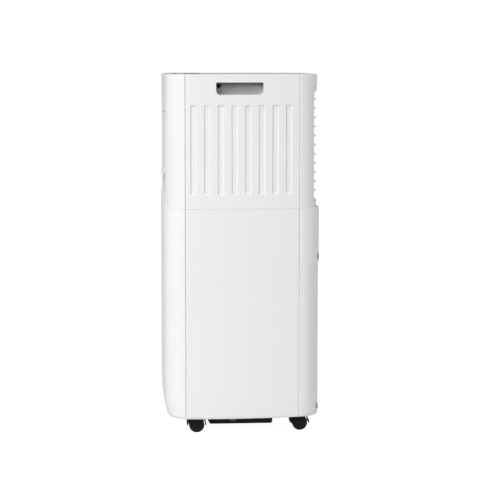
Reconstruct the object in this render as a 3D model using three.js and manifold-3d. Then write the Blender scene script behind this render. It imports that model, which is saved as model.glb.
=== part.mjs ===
// A slim tower dehumidifier on four casters, built as an assembly of separate named pieces.
// Units are millimetres and +Z is up. The origin is on the floor under the middle of the
// bounding box, and the front, with the air outlet, faces -Y.

import * as THREE from "three";
import { mergeVertices } from "three/addons/utils/BufferGeometryUtils.js";
import Module from "manifold-3d";

const wasm = await Module();
wasm.setup();

// ---- Driving dimensions -------------------------------------------------------------------

const HEIGHT = 700;
const FRONT_Y = -153.5;
const BACK_Y = 152;
const UPPER_FRONT_Y = -151;
const UPPER_BACK_Y = 148.6;
const SIDE_RADIUS = 1000;
const SIDE_APEX_X = 170;
const SIDE_APEX_Y = -45;
const FRONT_RADIUS = 3000;
const FRONT_CORNER_RADIUS = 48;
const BACK_CORNER_RADIUS = 46;

const WALL = 3;
const UPPER_WALL = 4;
const GAP = 0.3;
const SEAM_Y = 111;
const FLANGE = 6;
const FLANGE_WALL = 2;

const RIM_Z = 30.4;
const SPLIT_Z = 441;
const COLLAR_RISE = 20;
const COLLAR_Y = [-151, -137];
const TOE_TOP_Z = 80;
const TOE_INSET = 6.5;
const RIM_RADIUS = 6;
const BAND_Z = 330;
const BAND_DEPTH = 1.5;

const GROOVE_COUNT = 8;
const GROOVE_START_Y = -101.5;
const GROOVE_PITCH = 26.4;
const GROOVE_WIDTH = 12;
const GROOVE_DEPTH = 2.4;
const GROOVE_Z = [469, 641];

const GRIP_Y = [-51.5, 39.8];
const GRIP_Z = [660, 684];
const GRIP_DEPTH = 32;

const FLAP_HALF = 128.5;
const FLAP_Z = [508, 625.6];
const FLAP_HINGE = [-144.4, 619];
const LIP_HALF = 112;
const SCOOP_Z = 480;
const SCOOP_DEPTH = 9;

const GRILLE_Z = [445, 674];
const GRILLE_FRAME_Y = 134.6;
const GRILLE_OPEN_Y = 142;
const SLAT_COUNT = 12;
const SLAT_TOP_Z = 649.5;
const SLAT_PITCH = 17.75;

const DECK_Z = [434, 444];
const DECK_INSET = 7;
const BASE_Z = [36, 39.6];
const SUMP_X = 128;
const SUMP_Y = [-66, 61];
const SUMP_Z = 13;

const WHEEL_RADIUS = 15;
const WHEEL_WIDTH = 11;
const WHEEL_GAP = 5.2;
const CASTER_TRAIL = 12;
const FRONT_CASTER = [131.5, -101.3];
const BACK_CASTER = [122.5, 102.5];
const CASTERS = {
  front_right: FRONT_CASTER,
  front_left: [-FRONT_CASTER[0], FRONT_CASTER[1]],
  back_right: BACK_CASTER,
  back_left: [-BACK_CASTER[0], BACK_CASTER[1]],
};

const DRAIN_X = 126;
const UPPER_DRAIN_Z = 345;
const LOWER_DRAIN_Z = 47.5;
const INLET_X = -105;
const INLET_Z = 70;

const FAN_Z = 556;
const FAN_RADIUS = 94;
const VANE_COUNT = 5;
const VANE_PITCH = 46;
const VANE_Y = -116;
const VANE_CRANK = 18;

const PANEL_Y = [-130, -76];
const PANEL_HALF = 80;
const BUTTON_Y = -115;
const BUTTON_RADIUS = 6.6;
const BUTTONS = ["power", "mode", "fan", "timer", "down", "up"];
const BUTTON_PITCH = 25;

// ---- Solids -------------------------------------------------------------------------------

/** A closed geometry as a manifold-3d solid, with its faces turned outwards. */
function toSolid(geometry) {
  const bare = geometry.clone();
  bare.deleteAttribute("normal");
  bare.deleteAttribute("uv");
  const merged = mergeVertices(bare, 1e-4);
  const p = merged.attributes.position.array;
  const t = new Uint32Array(merged.index.array);
  if (signedVolume(p, t) < 0) {
    for (let i = 0; i < t.length; i += 3) [t[i + 1], t[i + 2]] = [t[i + 2], t[i + 1]];
  }
  return new wasm.Manifold(new wasm.Mesh({ numProp: 3, vertProperties: p, triVerts: t }));
}

/** Six times the volume inside a triangle mesh, negative when its faces point inwards. */
function signedVolume(p, t) {
  let sum = 0;
  const [a, b, c] = [new THREE.Vector3(), new THREE.Vector3(), new THREE.Vector3()];
  for (let i = 0; i < t.length; i += 3) {
    a.fromArray(p, 3 * t[i]);
    b.fromArray(p, 3 * t[i + 1]);
    c.fromArray(p, 3 * t[i + 2]);
    sum += a.dot(b.cross(c));
  }
  return sum;
}

/** A manifold-3d solid as a three.js geometry. */
function toGeometry(solid) {
  const mesh = solid.getMesh();
  const geometry = new THREE.BufferGeometry();
  const positions = new Float32Array(mesh.vertProperties);
  geometry.setAttribute("position", new THREE.BufferAttribute(positions, 3));
  geometry.setIndex(new THREE.BufferAttribute(new Uint32Array(mesh.triVerts), 1));
  geometry.computeVertexNormals();
  return geometry;
}

const join = (first, ...rest) => rest.reduce((whole, piece) => whole.add(piece), first);
const cut = (first, ...tools) => tools.reduce((whole, tool) => whole.subtract(tool), first);

/** A box between two corners given as [low, high] on each axis. */
function box([x0, x1], [y0, y1], [z0, z1]) {
  const geometry = new THREE.BoxGeometry(x1 - x0, y1 - y0, z1 - z0);
  geometry.translate((x0 + x1) / 2, (y0 + y1) / 2, (z0 + z1) / 2);
  return toSolid(geometry);
}

/** A round bar along an axis, from one height to another, centred on the other two coordinates. */
function bar(axis, radius, [low, high], [u, v], sides = 24) {
  const geometry = new THREE.CylinderGeometry(radius, radius, high - low, sides);
  const middle = (low + high) / 2;
  if (axis === "x") geometry.rotateZ(Math.PI / 2).translate(middle, u, v);
  if (axis === "y") geometry.translate(u, middle, v);
  if (axis === "z") geometry.rotateX(Math.PI / 2).translate(u, v, middle);
  return toSolid(geometry);
}

/** A turned solid about a line along the axis through [u, v]. The profile holds [radius, height]. */
function turned(axis, profile, [u, v], sides = 24) {
  const points = profile.map(([r, h]) => new THREE.Vector2(r, h));
  const geometry = new THREE.LatheGeometry(points, sides);
  if (axis === "x") geometry.rotateZ(-Math.PI / 2).translate(0, u, v);
  if (axis === "y") geometry.translate(u, 0, v);
  if (axis === "z") geometry.rotateX(Math.PI / 2).translate(u, v, 0);
  return toSolid(geometry);
}

/** A plan outline, a list of [x, y], raised from one height to another. */
function prism(outline, [z0, z1]) {
  return loft([outline.map(([x, y]) => [x, y, z0]), outline.map(([x, y]) => [x, y, z1])]);
}

/** An outline of [y, z] points drawn along X. */
function prismX(outline, [x0, x1]) {
  return loft([outline.map(([y, z]) => [x0, y, z]), outline.map(([y, z]) => [x1, y, z])]);
}

/** An outline of [x, z] points drawn along Y. */
function prismY(outline, [y0, y1]) {
  return loft([outline.map(([x, z]) => [x, y0, z]), outline.map(([x, z]) => [x, y1, z])]);
}

/** A solid through a row of closed loops of equal length, with a flat cap on the first and last. */
function loft(loops) {
  const n = loops[0].length;
  const positions = loops.flat(2);
  const index = [];
  for (let row = 0; row < loops.length - 1; row++) {
    for (let i = 0; i < n; i++) {
      const [a, b] = [row * n + i, row * n + ((i + 1) % n)];
      index.push(a, b, b + n, a, b + n, a + n);
    }
  }
  cap(loops[0]).forEach(([a, b, c]) => index.push(c, b, a));
  const last = (loops.length - 1) * n;
  cap(loops.at(-1)).forEach(([a, b, c]) => index.push(last + a, last + b, last + c));
  const geometry = new THREE.BufferGeometry();
  geometry.setAttribute("position", new THREE.Float32BufferAttribute(positions, 3));
  geometry.setIndex(index);
  return toSolid(geometry);
}

/** Triangles over one closed loop, wound as the loop is, seen along the direction it faces most. */
function cap(loop) {
  const facing = [0, 0, 0];
  loop.forEach((p, i) => {
    const q = loop[(i + 1) % loop.length];
    facing[0] += p[1] * q[2] - p[2] * q[1];
    facing[1] += p[2] * q[0] - p[0] * q[2];
    facing[2] += p[0] * q[1] - p[1] * q[0];
  });
  const sizes = facing.map(Math.abs);
  const [u, v] = [0, 1, 2].filter((k) => k !== sizes.indexOf(Math.max(...sizes)));
  const flat = loop.map((p) => new THREE.Vector2(p[u], p[v]));
  const faces = THREE.ShapeUtils.triangulateShape([...flat], []);
  const clockwise = THREE.ShapeUtils.isClockWise(flat);
  return faces.map(([a, b, c]) => {
    const area = flat[b].clone().sub(flat[a]).cross(flat[c].clone().sub(flat[a]));
    return area < 0 === clockwise ? [a, b, c] : [c, b, a];
  });
}

/** A round tube drawn along a smooth curve through the points. */
function pipe(points, radius, steps, sides = 8) {
  const path = new THREE.CatmullRomCurve3(points.map((p) => new THREE.Vector3(...p)), false, "centripetal");
  const section = new THREE.Shape();
  section.absarc(0, 0, radius, 0, 2 * Math.PI);
  const options = { extrudePath: path, steps, bevelEnabled: false, curveSegments: sides / 2 };
  return toSolid(new THREE.ExtrudeGeometry(section, options));
}

// ---- Plan outline of the casing -----------------------------------------------------------

/** Centre of a circle of radius r inside two larger circles and touching both, on the +X side. */
function touching([ax, ay], ar, [bx, by], br, r) {
  const [da, db] = [ar - r, br - r];
  const gap = Math.hypot(bx - ax, by - ay);
  const along = (da * da - db * db + gap * gap) / (2 * gap);
  const off = Math.sqrt(da * da - along * along);
  const [ux, uy] = [(bx - ax) / gap, (by - ay) / gap];
  const [x1, y1] = [ax + along * ux - off * uy, ay + along * uy + off * ux];
  const [x2, y2] = [ax + along * ux + off * uy, ay + along * uy - off * ux];
  return x1 > x2 ? [x1, y1] : [x2, y2];
}

/** The +X half of a casing's outline as stations {x, y, nx, ny}, from front middle to back middle. */
function halfOutline(frontY, backY) {
  const front = [0, frontY + FRONT_RADIUS];
  const side = [SIDE_APEX_X - SIDE_RADIUS, SIDE_APEX_Y];
  const frontCorner = touching(side, SIDE_RADIUS, front, FRONT_RADIUS, FRONT_CORNER_RADIUS);
  const backReach = SIDE_RADIUS - BACK_CORNER_RADIUS;
  const backCornerY = backY - BACK_CORNER_RADIUS;
  const backCorner = [side[0] + Math.sqrt(backReach ** 2 - (backCornerY - side[1]) ** 2), backCornerY];
  const bearing = (from, to) => Math.atan2(to[1] - from[1], to[0] - from[0]);
  const stations = [];
  const arc = ([cx, cy], r, from, to, steps) => {
    for (let i = 0; i <= steps; i++) {
      const a = from + ((to - from) * i) / steps;
      stations.push({ x: cx + r * Math.cos(a), y: cy + r * Math.sin(a), nx: Math.cos(a), ny: Math.sin(a) });
    }
    stations.pop();
  };
  arc(front, FRONT_RADIUS, -Math.PI / 2, bearing(front, frontCorner), 5);
  arc(frontCorner, FRONT_CORNER_RADIUS, bearing(front, frontCorner), bearing(side, frontCorner), 5);
  arc(side, SIDE_RADIUS, bearing(side, frontCorner), bearing(side, backCorner), 6);
  arc(backCorner, BACK_CORNER_RADIUS, bearing(side, backCorner), Math.PI / 2, 5);
  stations.push({ x: backCorner[0], y: backY, nx: 0, ny: 1 });
  stations.push({ x: 0, y: backY, nx: 0, ny: 1 });
  return stations;
}

const LOWER = halfOutline(FRONT_Y, BACK_Y);
const UPPER = halfOutline(UPPER_FRONT_Y, UPPER_BACK_Y);

/** The station where an outline crosses a height y. */
function stationAt(stations, y) {
  const i = stations.findIndex((s) => s.y >= y);
  const [a, b] = [stations[Math.max(i - 1, 0)], stations[Math.max(i, 1)]];
  const t = (y - a.y) / (b.y - a.y);
  const mix = (key) => a[key] + (b[key] - a[key]) * t;
  return { x: mix("x"), y, nx: mix("nx"), ny: mix("ny") };
}

/** The stretch of an outline between two values of y, ends included. */
function stretch(stations, y0, y1) {
  const inside = stations.filter((s) => s.y > y0 + 0.01 && s.y < y1 - 0.01);
  const first = y0 < stations[0].y ? [stations[0]] : [stationAt(stations, y0)];
  const last = y1 > stations.at(-1).y ? [] : [stationAt(stations, y1)];
  return [...first, ...inside.filter((s) => s !== first[0]), ...last];
}

const inward = (s, inset) => [s.x - s.nx * inset, s.y - s.ny * inset];
const mirrored = (points) => points.map(([x, ...rest]) => [-x, ...rest]).reverse();

/** The whole outline, both halves, set in by a distance. */
function fullOutline(stations, inset) {
  const half = stations.map((s) => inward(s, inset));
  return [...half, ...mirrored(half).slice(1, -1)];
}

/** How far the lower front leans in at a height: a long curved toe, then a small rim radius. */
function toe(station, z) {
  const facing = Math.max(0, -station.ny) ** 1.5;
  const lean = TOE_INSET * Math.max(0, (TOE_TOP_Z - z) / (TOE_TOP_Z - RIM_Z)) ** 2;
  const rise = Math.max(0, RIM_Z + RIM_RADIUS - z);
  const rim = RIM_RADIUS - Math.sqrt(RIM_RADIUS ** 2 - rise ** 2);
  return facing * lean + rim * (0.35 + 0.65 * facing);
}

/** The raised band round the lower back, as a negative inset. */
const band = (station, z) => (z > BAND_Z ? -BAND_DEPTH * Math.max(0, station.ny) ** 2 : 0);

/** The finger scoop below the outlet flap's lip. */
function scoop(station, z) {
  const across = Math.max(0, 1 - (station.x / 118) ** 4);
  const deep = Math.max(0, Math.min(1, (z - SCOOP_Z) / (FLAP_Z[0] - SCOOP_Z)));
  return z > FLAP_Z[0] + 0.1 ? 0 : SCOOP_DEPTH * across * deep ** 0.7;
}

/**
 * A U-shaped shell round the front or the back, ending at the side seams with a thin flange
 * that reaches behind the side panels. inset(station, z) shapes the outer face.
 */
function endShell(stations, atFront, wall, levels, inset) {
  const sign = atFront ? 1 : -1;
  const edge = sign * -(SEAM_Y + GAP);
  const reach = edge + sign * FLANGE;
  const root = edge - sign * FLANGE;
  const part = (y) => (atFront ? stretch(stations, -1e3, y) : stretch(stations, y, 1e3).reverse());
  const loops = levels.map((z) => {
    const at = (extra) => (s) => inward(s, inset(s, z) + extra);
    const flangeIn = wall + GAP;
    const flange = stretch(stations, Math.min(root, reach), Math.max(root, reach));
    const ordered = atFront ? flange : flange.reverse();
    const outer = part(edge).map(at(0));
    const under = ordered.filter((s) => sign * (s.y - edge) > -0.01).map(at(flangeIn));
    const start = at(flangeIn)(stationAt(stations, edge));
    const back = [...ordered].reverse().map(at(flangeIn + FLANGE_WALL));
    const inner = part(root).reverse().map(at(wall));
    const half = [...outer, start, ...under, ...back, ...inner];
    return [...half, ...mirrored(half)].map(([x, y]) => [x, y, z]);
  });
  return loops;
}

/** Drops the doubled points where the two halves of each loop meet on the middle plane. */
function closeMiddle(loops) {
  const keep = loops[0].map(([x, y], i, all) => {
    const [px, py] = all[(i + all.length - 1) % all.length];
    return Math.hypot(x - px, y - py) > 1e-3;
  });
  return loops.map((loop) => loop.filter((_, i) => keep[i]));
}

/** A curved side panel between the seams, on the +X side. */
function sidePanel(stations, wall, levels, inset) {
  const reach = SEAM_Y - GAP;
  const span = stretch(stations, -reach, reach);
  return loft(
    levels.map((z) => {
      const outer = span.map((s) => inward(s, inset(s, z)));
      const inner = span.map((s) => inward(s, inset(s, z) + wall)).reverse();
      return [...outer, ...inner].map(([x, y]) => [x, y, z]);
    }),
  );
}

/** A curved slab that follows the casing between two values of y, on the +X side. */
function sideSlab(stations, [y0, y1], [in0, in1], [z0, z1]) {
  const span = stretch(stations, y0, y1);
  const outline = [...span.map((s) => inward(s, in0)), ...span.map((s) => inward(s, in1)).reverse()];
  return prism(outline, [z0, z1]);
}

const flip = (solid) => toSolid(toGeometry(solid).scale(-1, 1, 1));

// ---- Materials and the group --------------------------------------------------------------

const FINISHES = {
  white: { color: 0xeeeeee, roughness: 0.45, metalness: 0 },
  light_grey: { color: 0xa9abad, roughness: 0.5, metalness: 0 },
  grip_grey: { color: 0xa2a4a6, roughness: 0.55, metalness: 0 },
  black: { color: 0x1b1c1d, roughness: 0.6, metalness: 0 },
  dark_gloss: { color: 0x222427, roughness: 0.15, metalness: 0 },
  rubber: { color: 0x3a3b3d, roughness: 0.8, metalness: 0 },
  inner_plastic: { color: 0xcfd1d2, roughness: 0.6, metalness: 0 },
  mesh: { color: 0x4a4d50, roughness: 0.8, metalness: 0 },
  steel: { color: 0x9a9da1, roughness: 0.35, metalness: 1 },
  aluminium: { color: 0xc7cacc, roughness: 0.4, metalness: 1 },
  copper: { color: 0xb87350, roughness: 0.35, metalness: 1 },
  compressor_black: { color: 0x232427, roughness: 0.5, metalness: 0.3 },
  board_green: { color: 0x2f6b45, roughness: 0.6, metalness: 0 },
};

const dehumidifier = new THREE.Group();

/** Adds one solid to the group as a named mesh of its own material. */
function add(name, solid, finish) {
  const mesh = new THREE.Mesh(toGeometry(solid), new THREE.MeshStandardMaterial(FINISHES[finish]));
  mesh.name = name;
  dehumidifier.add(mesh);
}

// ---- Lower casing -------------------------------------------------------------------------

const RIM_LEVELS = [RIM_Z, RIM_Z + 2, RIM_Z + RIM_RADIUS];

/**
 * Everything above, or everything below, the seam between the front shells. The seam is level
 * along the sides and swells up to a collar across the front, so its height follows y alone.
 */
function seamSide(above, offset) {
  const [full, none] = COLLAR_Y;
  const far = above ? HEIGHT + 50 : 0;
  const line = [];
  for (let i = 0; i <= 8; i++) {
    const t = i / 8;
    const rise = COLLAR_RISE * (1 - t * t * (3 - 2 * t));
    line.push([full + (none - full) * t, SPLIT_Z + offset + rise]);
  }
  const outline = [[-200, line[0][1]], ...line, [200, SPLIT_Z + offset], [200, far], [-200, far]];
  return prismX(outline, [-200, 200]);
}

function lowerCasing() {
  const top = SPLIT_Z - GAP;
  const frontLevels = [...RIM_LEVELS, 48, 62, TOE_TOP_Z, SPLIT_Z + COLLAR_RISE + 5];
  const front = loft(closeMiddle(endShell(LOWER, true, WALL, frontLevels, toe)));
  add("lower_front_shell", cut(front, seamSide(true, -GAP)), "white");

  const backLevels = [...RIM_LEVELS, BAND_Z, BAND_Z + 0.8, top];
  const shape = (s, z) => toe(s, z) + band(s, z);
  const back = cut(
    loft(closeMiddle(endShell(LOWER, false, WALL, backLevels, shape))),
    bar("y", 7.2, [125, 160], [DRAIN_X, UPPER_DRAIN_Z]),
    bar("y", 7.2, [125, 160], [DRAIN_X, LOWER_DRAIN_Z]),
    bar("y", 7.2, [140, 160], [INLET_X, INLET_Z]),
  );
  add("lower_back_shell", back, "white");

  const panel = sidePanel(LOWER, WALL, [...RIM_LEVELS, top], toe);
  add("lower_side_panel_right", panel, "white");
  add("lower_side_panel_left", flip(panel), "white");
}

// ---- Upper casing -------------------------------------------------------------------------

function upperCasing() {
  const bottom = SPLIT_Z + GAP;
  const [flapLow, flapHigh] = FLAP_Z;
  const scoopLevels = [SCOOP_Z, 485, 494, flapLow, flapLow + 0.2];
  const frontLevels = [SPLIT_Z - 5, ...scoopLevels, HEIGHT];
  const frontLoops = endShell(UPPER, true, UPPER_WALL, frontLevels, scoop);
  const earX = [FLAP_HALF + 0.8, FLAP_HALF + 5.2];
  const ear = box(earX, [-146, -140.6], [614, 624]);
  const front = cut(
    join(loft(closeMiddle(frontLoops)), ear, flip(ear)),
    box([-FLAP_HALF - 0.8, FLAP_HALF + 0.8], [-160, -120], [flapLow - 0.5, flapHigh + 1.8]),
    bar("x", 1.9, [-FLAP_HALF - 4.6, FLAP_HALF + 4.6], FLAP_HINGE, 12),
    seamSide(false, GAP),
  );
  const lidSeat = prism(fullOutline(UPPER, UPPER_WALL + 0.05), [HEIGHT - 5, HEIGHT + 1]);
  add("upper_front_shell", cut(front, lidSeat), "white");

  const backLoops = endShell(UPPER, false, UPPER_WALL, [bottom, HEIGHT], () => 0);
  const backWindow = box([-160, 160], [GRILLE_FRAME_Y - 0.4, 160], [GRILLE_Z[0] - 0.4, GRILLE_Z[1] + 0.4]);
  add("upper_back_shell", cut(loft(closeMiddle(backLoops)), backWindow, lidSeat), "white");

  let panel = sidePanel(UPPER, UPPER_WALL, [bottom, HEIGHT], () => 0);
  for (let k = 0; k < GROOVE_COUNT; k++) {
    const y = GROOVE_START_Y + k * GROOVE_PITCH;
    panel = panel.subtract(sideSlab(UPPER, [y, y + GROOVE_WIDTH], [-5, GROOVE_DEPTH], GROOVE_Z));
  }
  panel = panel.subtract(gripSlot([130, 190], 0));
  add("upper_side_panel_right", panel, "white");
  add("upper_side_panel_left", flip(panel), "white");
}

/** The hand slot's rounded outline drawn along X: tight corners above, wide ones below. */
function gripSlot(spanX, grow) {
  const [y0, y1] = [GRIP_Y[0] - grow, GRIP_Y[1] + grow];
  const [z0, z1] = [GRIP_Z[0] - grow, GRIP_Z[1] + grow];
  const corner = (cy, cz, r, from) => {
    const points = [];
    for (let i = 0; i <= 4; i++) {
      const a = ((from + (90 * i) / 4) * Math.PI) / 180;
      points.push([cy + r * Math.cos(a), cz + r * Math.sin(a)]);
    }
    return points;
  };
  const [wide, tight] = [8.5 + grow, 2 + grow];
  const outline = [
    ...corner(y0 + wide, z0 + wide, wide, 180),
    ...corner(y1 - wide, z0 + wide, wide, 270),
    ...corner(y1 - tight, z1 - tight, tight, 0),
    ...corner(y0 + tight, z1 - tight, tight, 90),
  ];
  return prismX(outline, spanX);
}

function gripCups() {
  const wall = 2.2;
  const floorX = SIDE_APEX_X - GRIP_DEPTH;
  const face = UPPER_WALL + GAP;
  const spanY = [GRIP_Y[0] - 3, GRIP_Y[1] + 3];
  const slab = sideSlab(UPPER, spanY, [face, GRIP_DEPTH + 4], [GRIP_Z[0] - 3, GRIP_Z[1] + 6]);
  const hollow = prismY(
    [[200, GRIP_Z[0]], [200, GRIP_Z[1]], [160, GRIP_Z[1]], [156, GRIP_Z[1] + 4 - GAP],
      [floorX, GRIP_Z[1] + 4 - GAP], [floorX, GRIP_Z[0] + 8], [floorX + 6, GRIP_Z[0] + 6]],
    GRIP_Y,
  );
  const boss = [-45, 677];
  const cup = join(
    cut(slab, hollow),
    cut(bar("x", 6, [floorX - wall, floorX + 5], boss), bar("x", 4.6, [floorX + 3.4, floorX + 6], boss)),
  );
  add("grip_cup_right", cup, "grip_grey");
  add("grip_cup_left", flip(cup), "grip_grey");
  const head = [[0, 0], [3.6, 0], [3.6, 1], [2.2, 1.9], [1.2, 1.9], [1.2, 0.9], [0, 0.9]];
  const screw = turned("x", head.map(([r, h]) => [r, floorX + 3.4 + GAP + h]), boss, 12);
  add("grip_screw_right", screw, "steel");
  add("grip_screw_left", flip(screw), "steel");
}

// ---- Top cover and controls ---------------------------------------------------------------

function topCover() {
  const top = HEIGHT - 0.4;
  const [y0, y1] = PANEL_Y;
  const plate = prism(fullOutline(UPPER, UPPER_WALL + 0.4), [top - 4, top]);
  const pocket = box([-PANEL_HALF, PANEL_HALF], [y0, y1], [top - 2.2, top + 1]);
  const through = box([4 - PANEL_HALF, PANEL_HALF - 4], [y0 + 4, y1 - 4], [top - 6, top + 1]);
  add("top_cover", cut(plate, pocket, through), "light_grey");

  const panelX = [GAP - PANEL_HALF, PANEL_HALF - GAP];
  let panel = box(panelX, [y0 + GAP, y1 - GAP], [top - 1.9, top]);
  panel = cut(panel, box([-30, 30], [-98, -82], [top - 1.1, top + 1]));
  BUTTONS.forEach((name, i) => {
    const x = buttonX(i);
    panel = cut(panel, bar("z", BUTTON_RADIUS + 0.4, [top - 4, top + 1], [x, BUTTON_Y], 16));
    const r = BUTTON_RADIUS;
    const skirt = r + 1.6;
    const profile = [[0, -8], [3, -8], [3, -3.4], [skirt, -3.4], [skirt, -2.4], [r, -2.4], [r, 0], [0, 0]];
    const cap = turned("z", profile.map(([a, h]) => [a, HEIGHT + h]), [x, BUTTON_Y], 16);
    add(`button_${name}`, cap, "light_grey");
  });
  add("control_panel", panel, "dark_gloss");
  add("display_window", box([-29.7, 29.7], [-97.7, -82.3], [top - 0.8, top - 0.1]), "dark_gloss");

  const boardTop = HEIGHT - 13;
  const board = box([-78, 78], [-128, -78], [boardTop - 1.6, boardTop]);
  const switchZ = [boardTop - 1, boardTop + 3];
  const switches = BUTTONS.map((_, i) => bar("z", 3, switchZ, [buttonX(i), BUTTON_Y], 8));
  const display = box([-27, 27], [-96, -84], [boardTop - 1, HEIGHT - 5]);
  const sensor = box([60, 70], [-96, -86], [boardTop - 6, boardTop - 1]);
  add("control_board", join(board, ...switches, display, sensor), "board_green");
}

const buttonX = (i) => (i - (BUTTONS.length - 1) / 2) * BUTTON_PITCH;

// ---- Outlet: flap, duct and vanes ---------------------------------------------------------

function outletFlap() {
  const [low, high] = FLAP_Z;
  const skin = UPPER.filter((s) => s.y < -120 && s.x < FLAP_HALF - 2);
  const bow = (x) => UPPER_FRONT_Y + x ** 2 / (2 * FRONT_RADIUS);
  const edge = { x: FLAP_HALF, y: bow(FLAP_HALF), nx: FLAP_HALF / FRONT_RADIUS, ny: -1 };
  const half = [...skin.filter((s) => s.x < 118), edge];
  const row = (inset, z) => half.map((s) => [...inward(s, inset), z]);
  const loops = [[low, 0], [high - 2.6, 0], [high, 2.2]].map(([z, inset]) => {
    const outer = row(inset, z);
    const inner = row(WALL, z).reverse();
    const right = [...outer, ...inner];
    return [...right, ...mirrored(right)];
  });
  const body = loft(closeMiddle(loops));

  const section = [[-1.5, 10.8], [1.6, 10.8], [2.7, 8], [3, 4.5], [2.2, 1.4], [1, 0], [0.5, 1.6], [0.5, 9],
    [-1.5, 9]];
  const bead = [];
  for (let i = -8; i <= 8; i++) {
    const x = (LIP_HALF * i) / 8;
    const swell = Math.max(0.25, (1 - (x / (LIP_HALF + 4)) ** 2) ** 0.4);
    const proud = FRONT_Y - UPPER_FRONT_Y + 3;
    const reach = (out) => (out > 0.5 ? (out - proud) * swell : out);
    bead.push(section.map(([out, h]) => [x, bow(x) - reach(out), low - 10.6 + h]));
  }
  const pin = bar("x", 1.5, [FLAP_HALF - 9, FLAP_HALF + 4], FLAP_HINGE, 12);
  const lug = box([FLAP_HALF - 7, FLAP_HALF - 1], [-147, -143.4], [616, 621.6]);
  add("outlet_flap", join(body, loft(bead), pin, lug, flip(pin), flip(lug)), "white");
}

/** A rectangular loop at one y, for a duct. */
const ductLoop = ([halfX, z0, z1, y]) => [[-halfX, y, z0], [halfX, y, z0], [halfX, y, z1], [-halfX, y, z1]];

const vaneX = (i) => (i - (VANE_COUNT - 1) / 2) * VANE_PITCH;

function outletDuct() {
  const wall = 2;
  const stages = [[112, 450, 662, 16], [126, 500, 632, -70], [127, 507, 623, -133]];
  const inside = stages.map(([half, z0, z1, y]) => [half - wall, z0 + wall, z1 - wall, y]);
  inside[0][3] += 1;
  inside[2][3] -= 1;
  let duct = cut(loft(stages.map(ductLoop)), loft(inside.map(ductLoop)));
  for (let i = 0; i < VANE_COUNT; i++) {
    duct = duct.subtract(bar("z", 2, [490, 640], [vaneX(i), VANE_Y], 12));
  }
  add("outlet_duct", duct, "inner_plastic");

  const [z0, z1] = [511.4, 618.6];
  for (let i = 0; i < VANE_COUNT; i++) {
    const x = vaneX(i);
    const crankY = VANE_Y + VANE_CRANK;
    const outline = [[VANE_Y - 14, z0], [crankY - 8, z0], [crankY - 8, z0 + 6], [crankY + 3, z0 + 6],
      [crankY + 3, z1], [VANE_Y - 14, z1]];
    const blade = prismX(outline, [x - 0.8, x + 0.8]);
    const pivot = bar("z", 1.6, [z0 - 4.6, z1 + 4.2], [x, VANE_Y], 12);
    const crank = bar("z", 1.2, [z0 + 0.6, z0 + 8], [x, crankY], 10);
    add(`outlet_vane_${i + 1}`, join(blade, pivot, crank), "inner_plastic");
  }
  const crankY = VANE_Y + VANE_CRANK;
  let link = box([-103, 103], [crankY - 7, crankY + 5], [z0 + 1.6, z0 + 3.6]);
  for (let i = 0; i < VANE_COUNT; i++) {
    link = link.subtract(box([vaneX(i) - 1.8, vaneX(i) + 1.8], [crankY - 5, crankY + 2.5], [500, 530]));
  }
  add("vane_link", link, "inner_plastic");
}

// ---- Rear intake: grille and filter -------------------------------------------------------

function rearGrille() {
  const corner = UPPER.filter((s) => s.y > GRILLE_FRAME_Y);
  const half = [stationAt(UPPER, GRILLE_FRAME_Y), ...corner].reverse();
  const face = half.map((s) => inward(s, 0.8));
  const rear = half.map((s) => inward(s, UPPER_WALL)).reverse();
  const frame = prism(wholeFromHalf([...face, ...rear]), GRILLE_Z);
  const opening = box([-160, 160], [GRILLE_OPEN_Y, 160], [GRILLE_Z[0] + 8, GRILLE_Z[1] - 8]);
  const reachX = stationAt(UPPER, GRILLE_OPEN_Y).x;
  const behind = box([4 - reachX, reachX - 4], [120, 160], [GRILLE_Z[0] + 8, GRILLE_Z[1] - 8]);
  const ends = box([-160, 160], [120, GRILLE_FRAME_Y], [GRILLE_Z[0] - 1, GRILLE_Z[1] + 1]);
  let grille = cut(frame, opening, behind, ends);

  const edge = [stationAt(UPPER, GRILLE_OPEN_Y - 2), ...UPPER.filter((s) => s.y > GRILLE_OPEN_Y)];
  const tip = edge.map((s) => inward(s, 0.4));
  const tips = [...tip, ...mirrored(tip)].filter(([x]) => Math.abs(x) > 1).sort((a, b) => a[0] - b[0]);
  for (let k = 0; k < SLAT_COUNT; k++) {
    const z = SLAT_TOP_Z - k * SLAT_PITCH;
    const loops = tips.map(([x, y]) => {
      const inner = Math.min(132, y - 6);
      const rise = (y - inner) * 0.55;
      return [[x, y, z], [x, y, z + 1.8], [x, inner, z + rise + 1.8], [x, inner, z + rise]];
    });
    grille = grille.add(loft(loops));
  }
  for (const x of [-120, 0, 120]) {
    grille = grille.add(box([x - 1, x + 1], [132, 137], [GRILLE_Z[0] + 2, GRILLE_Z[1] - 2]));
  }
  const ledge = [132, UPPER_BACK_Y - UPPER_WALL + 1];
  const low = box([-121, 121], ledge, [GRILLE_Z[0] + 1, GRILLE_Z[0] + 4]);
  const high = box([-121, 121], ledge, [GRILLE_Z[1] - 4, GRILLE_Z[1] - 1]);
  add("intake_grille", join(grille, low, high), "white");

  const frameX = [-124, 124];
  const [y0, y1] = [125, 131.4];
  const [z0, z1] = [450, 668];
  let filter = cut(box(frameX, [y0, y1], [z0, z1]), box([-118, 118], [y0 - 1, y1 + 1], [z0 + 6, z1 - 6]));
  for (const x of [-59, 0, 59]) {
    filter = filter.add(box([x - 1.5, x + 1.5], [y0 + 3.6, y1], [z0 + 2, z1 - 2]));
  }
  filter = filter.add(box([-120, 120], [y0 + 3.6, y1], [557.5, 560.5]));
  add("filter_frame", filter, "inner_plastic");
  add("filter_mesh", box([-117.6, 117.6], [y0 + 1.2, y0 + 3], [z0 + 6.4, z1 - 6.4]), "mesh");
}

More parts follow.
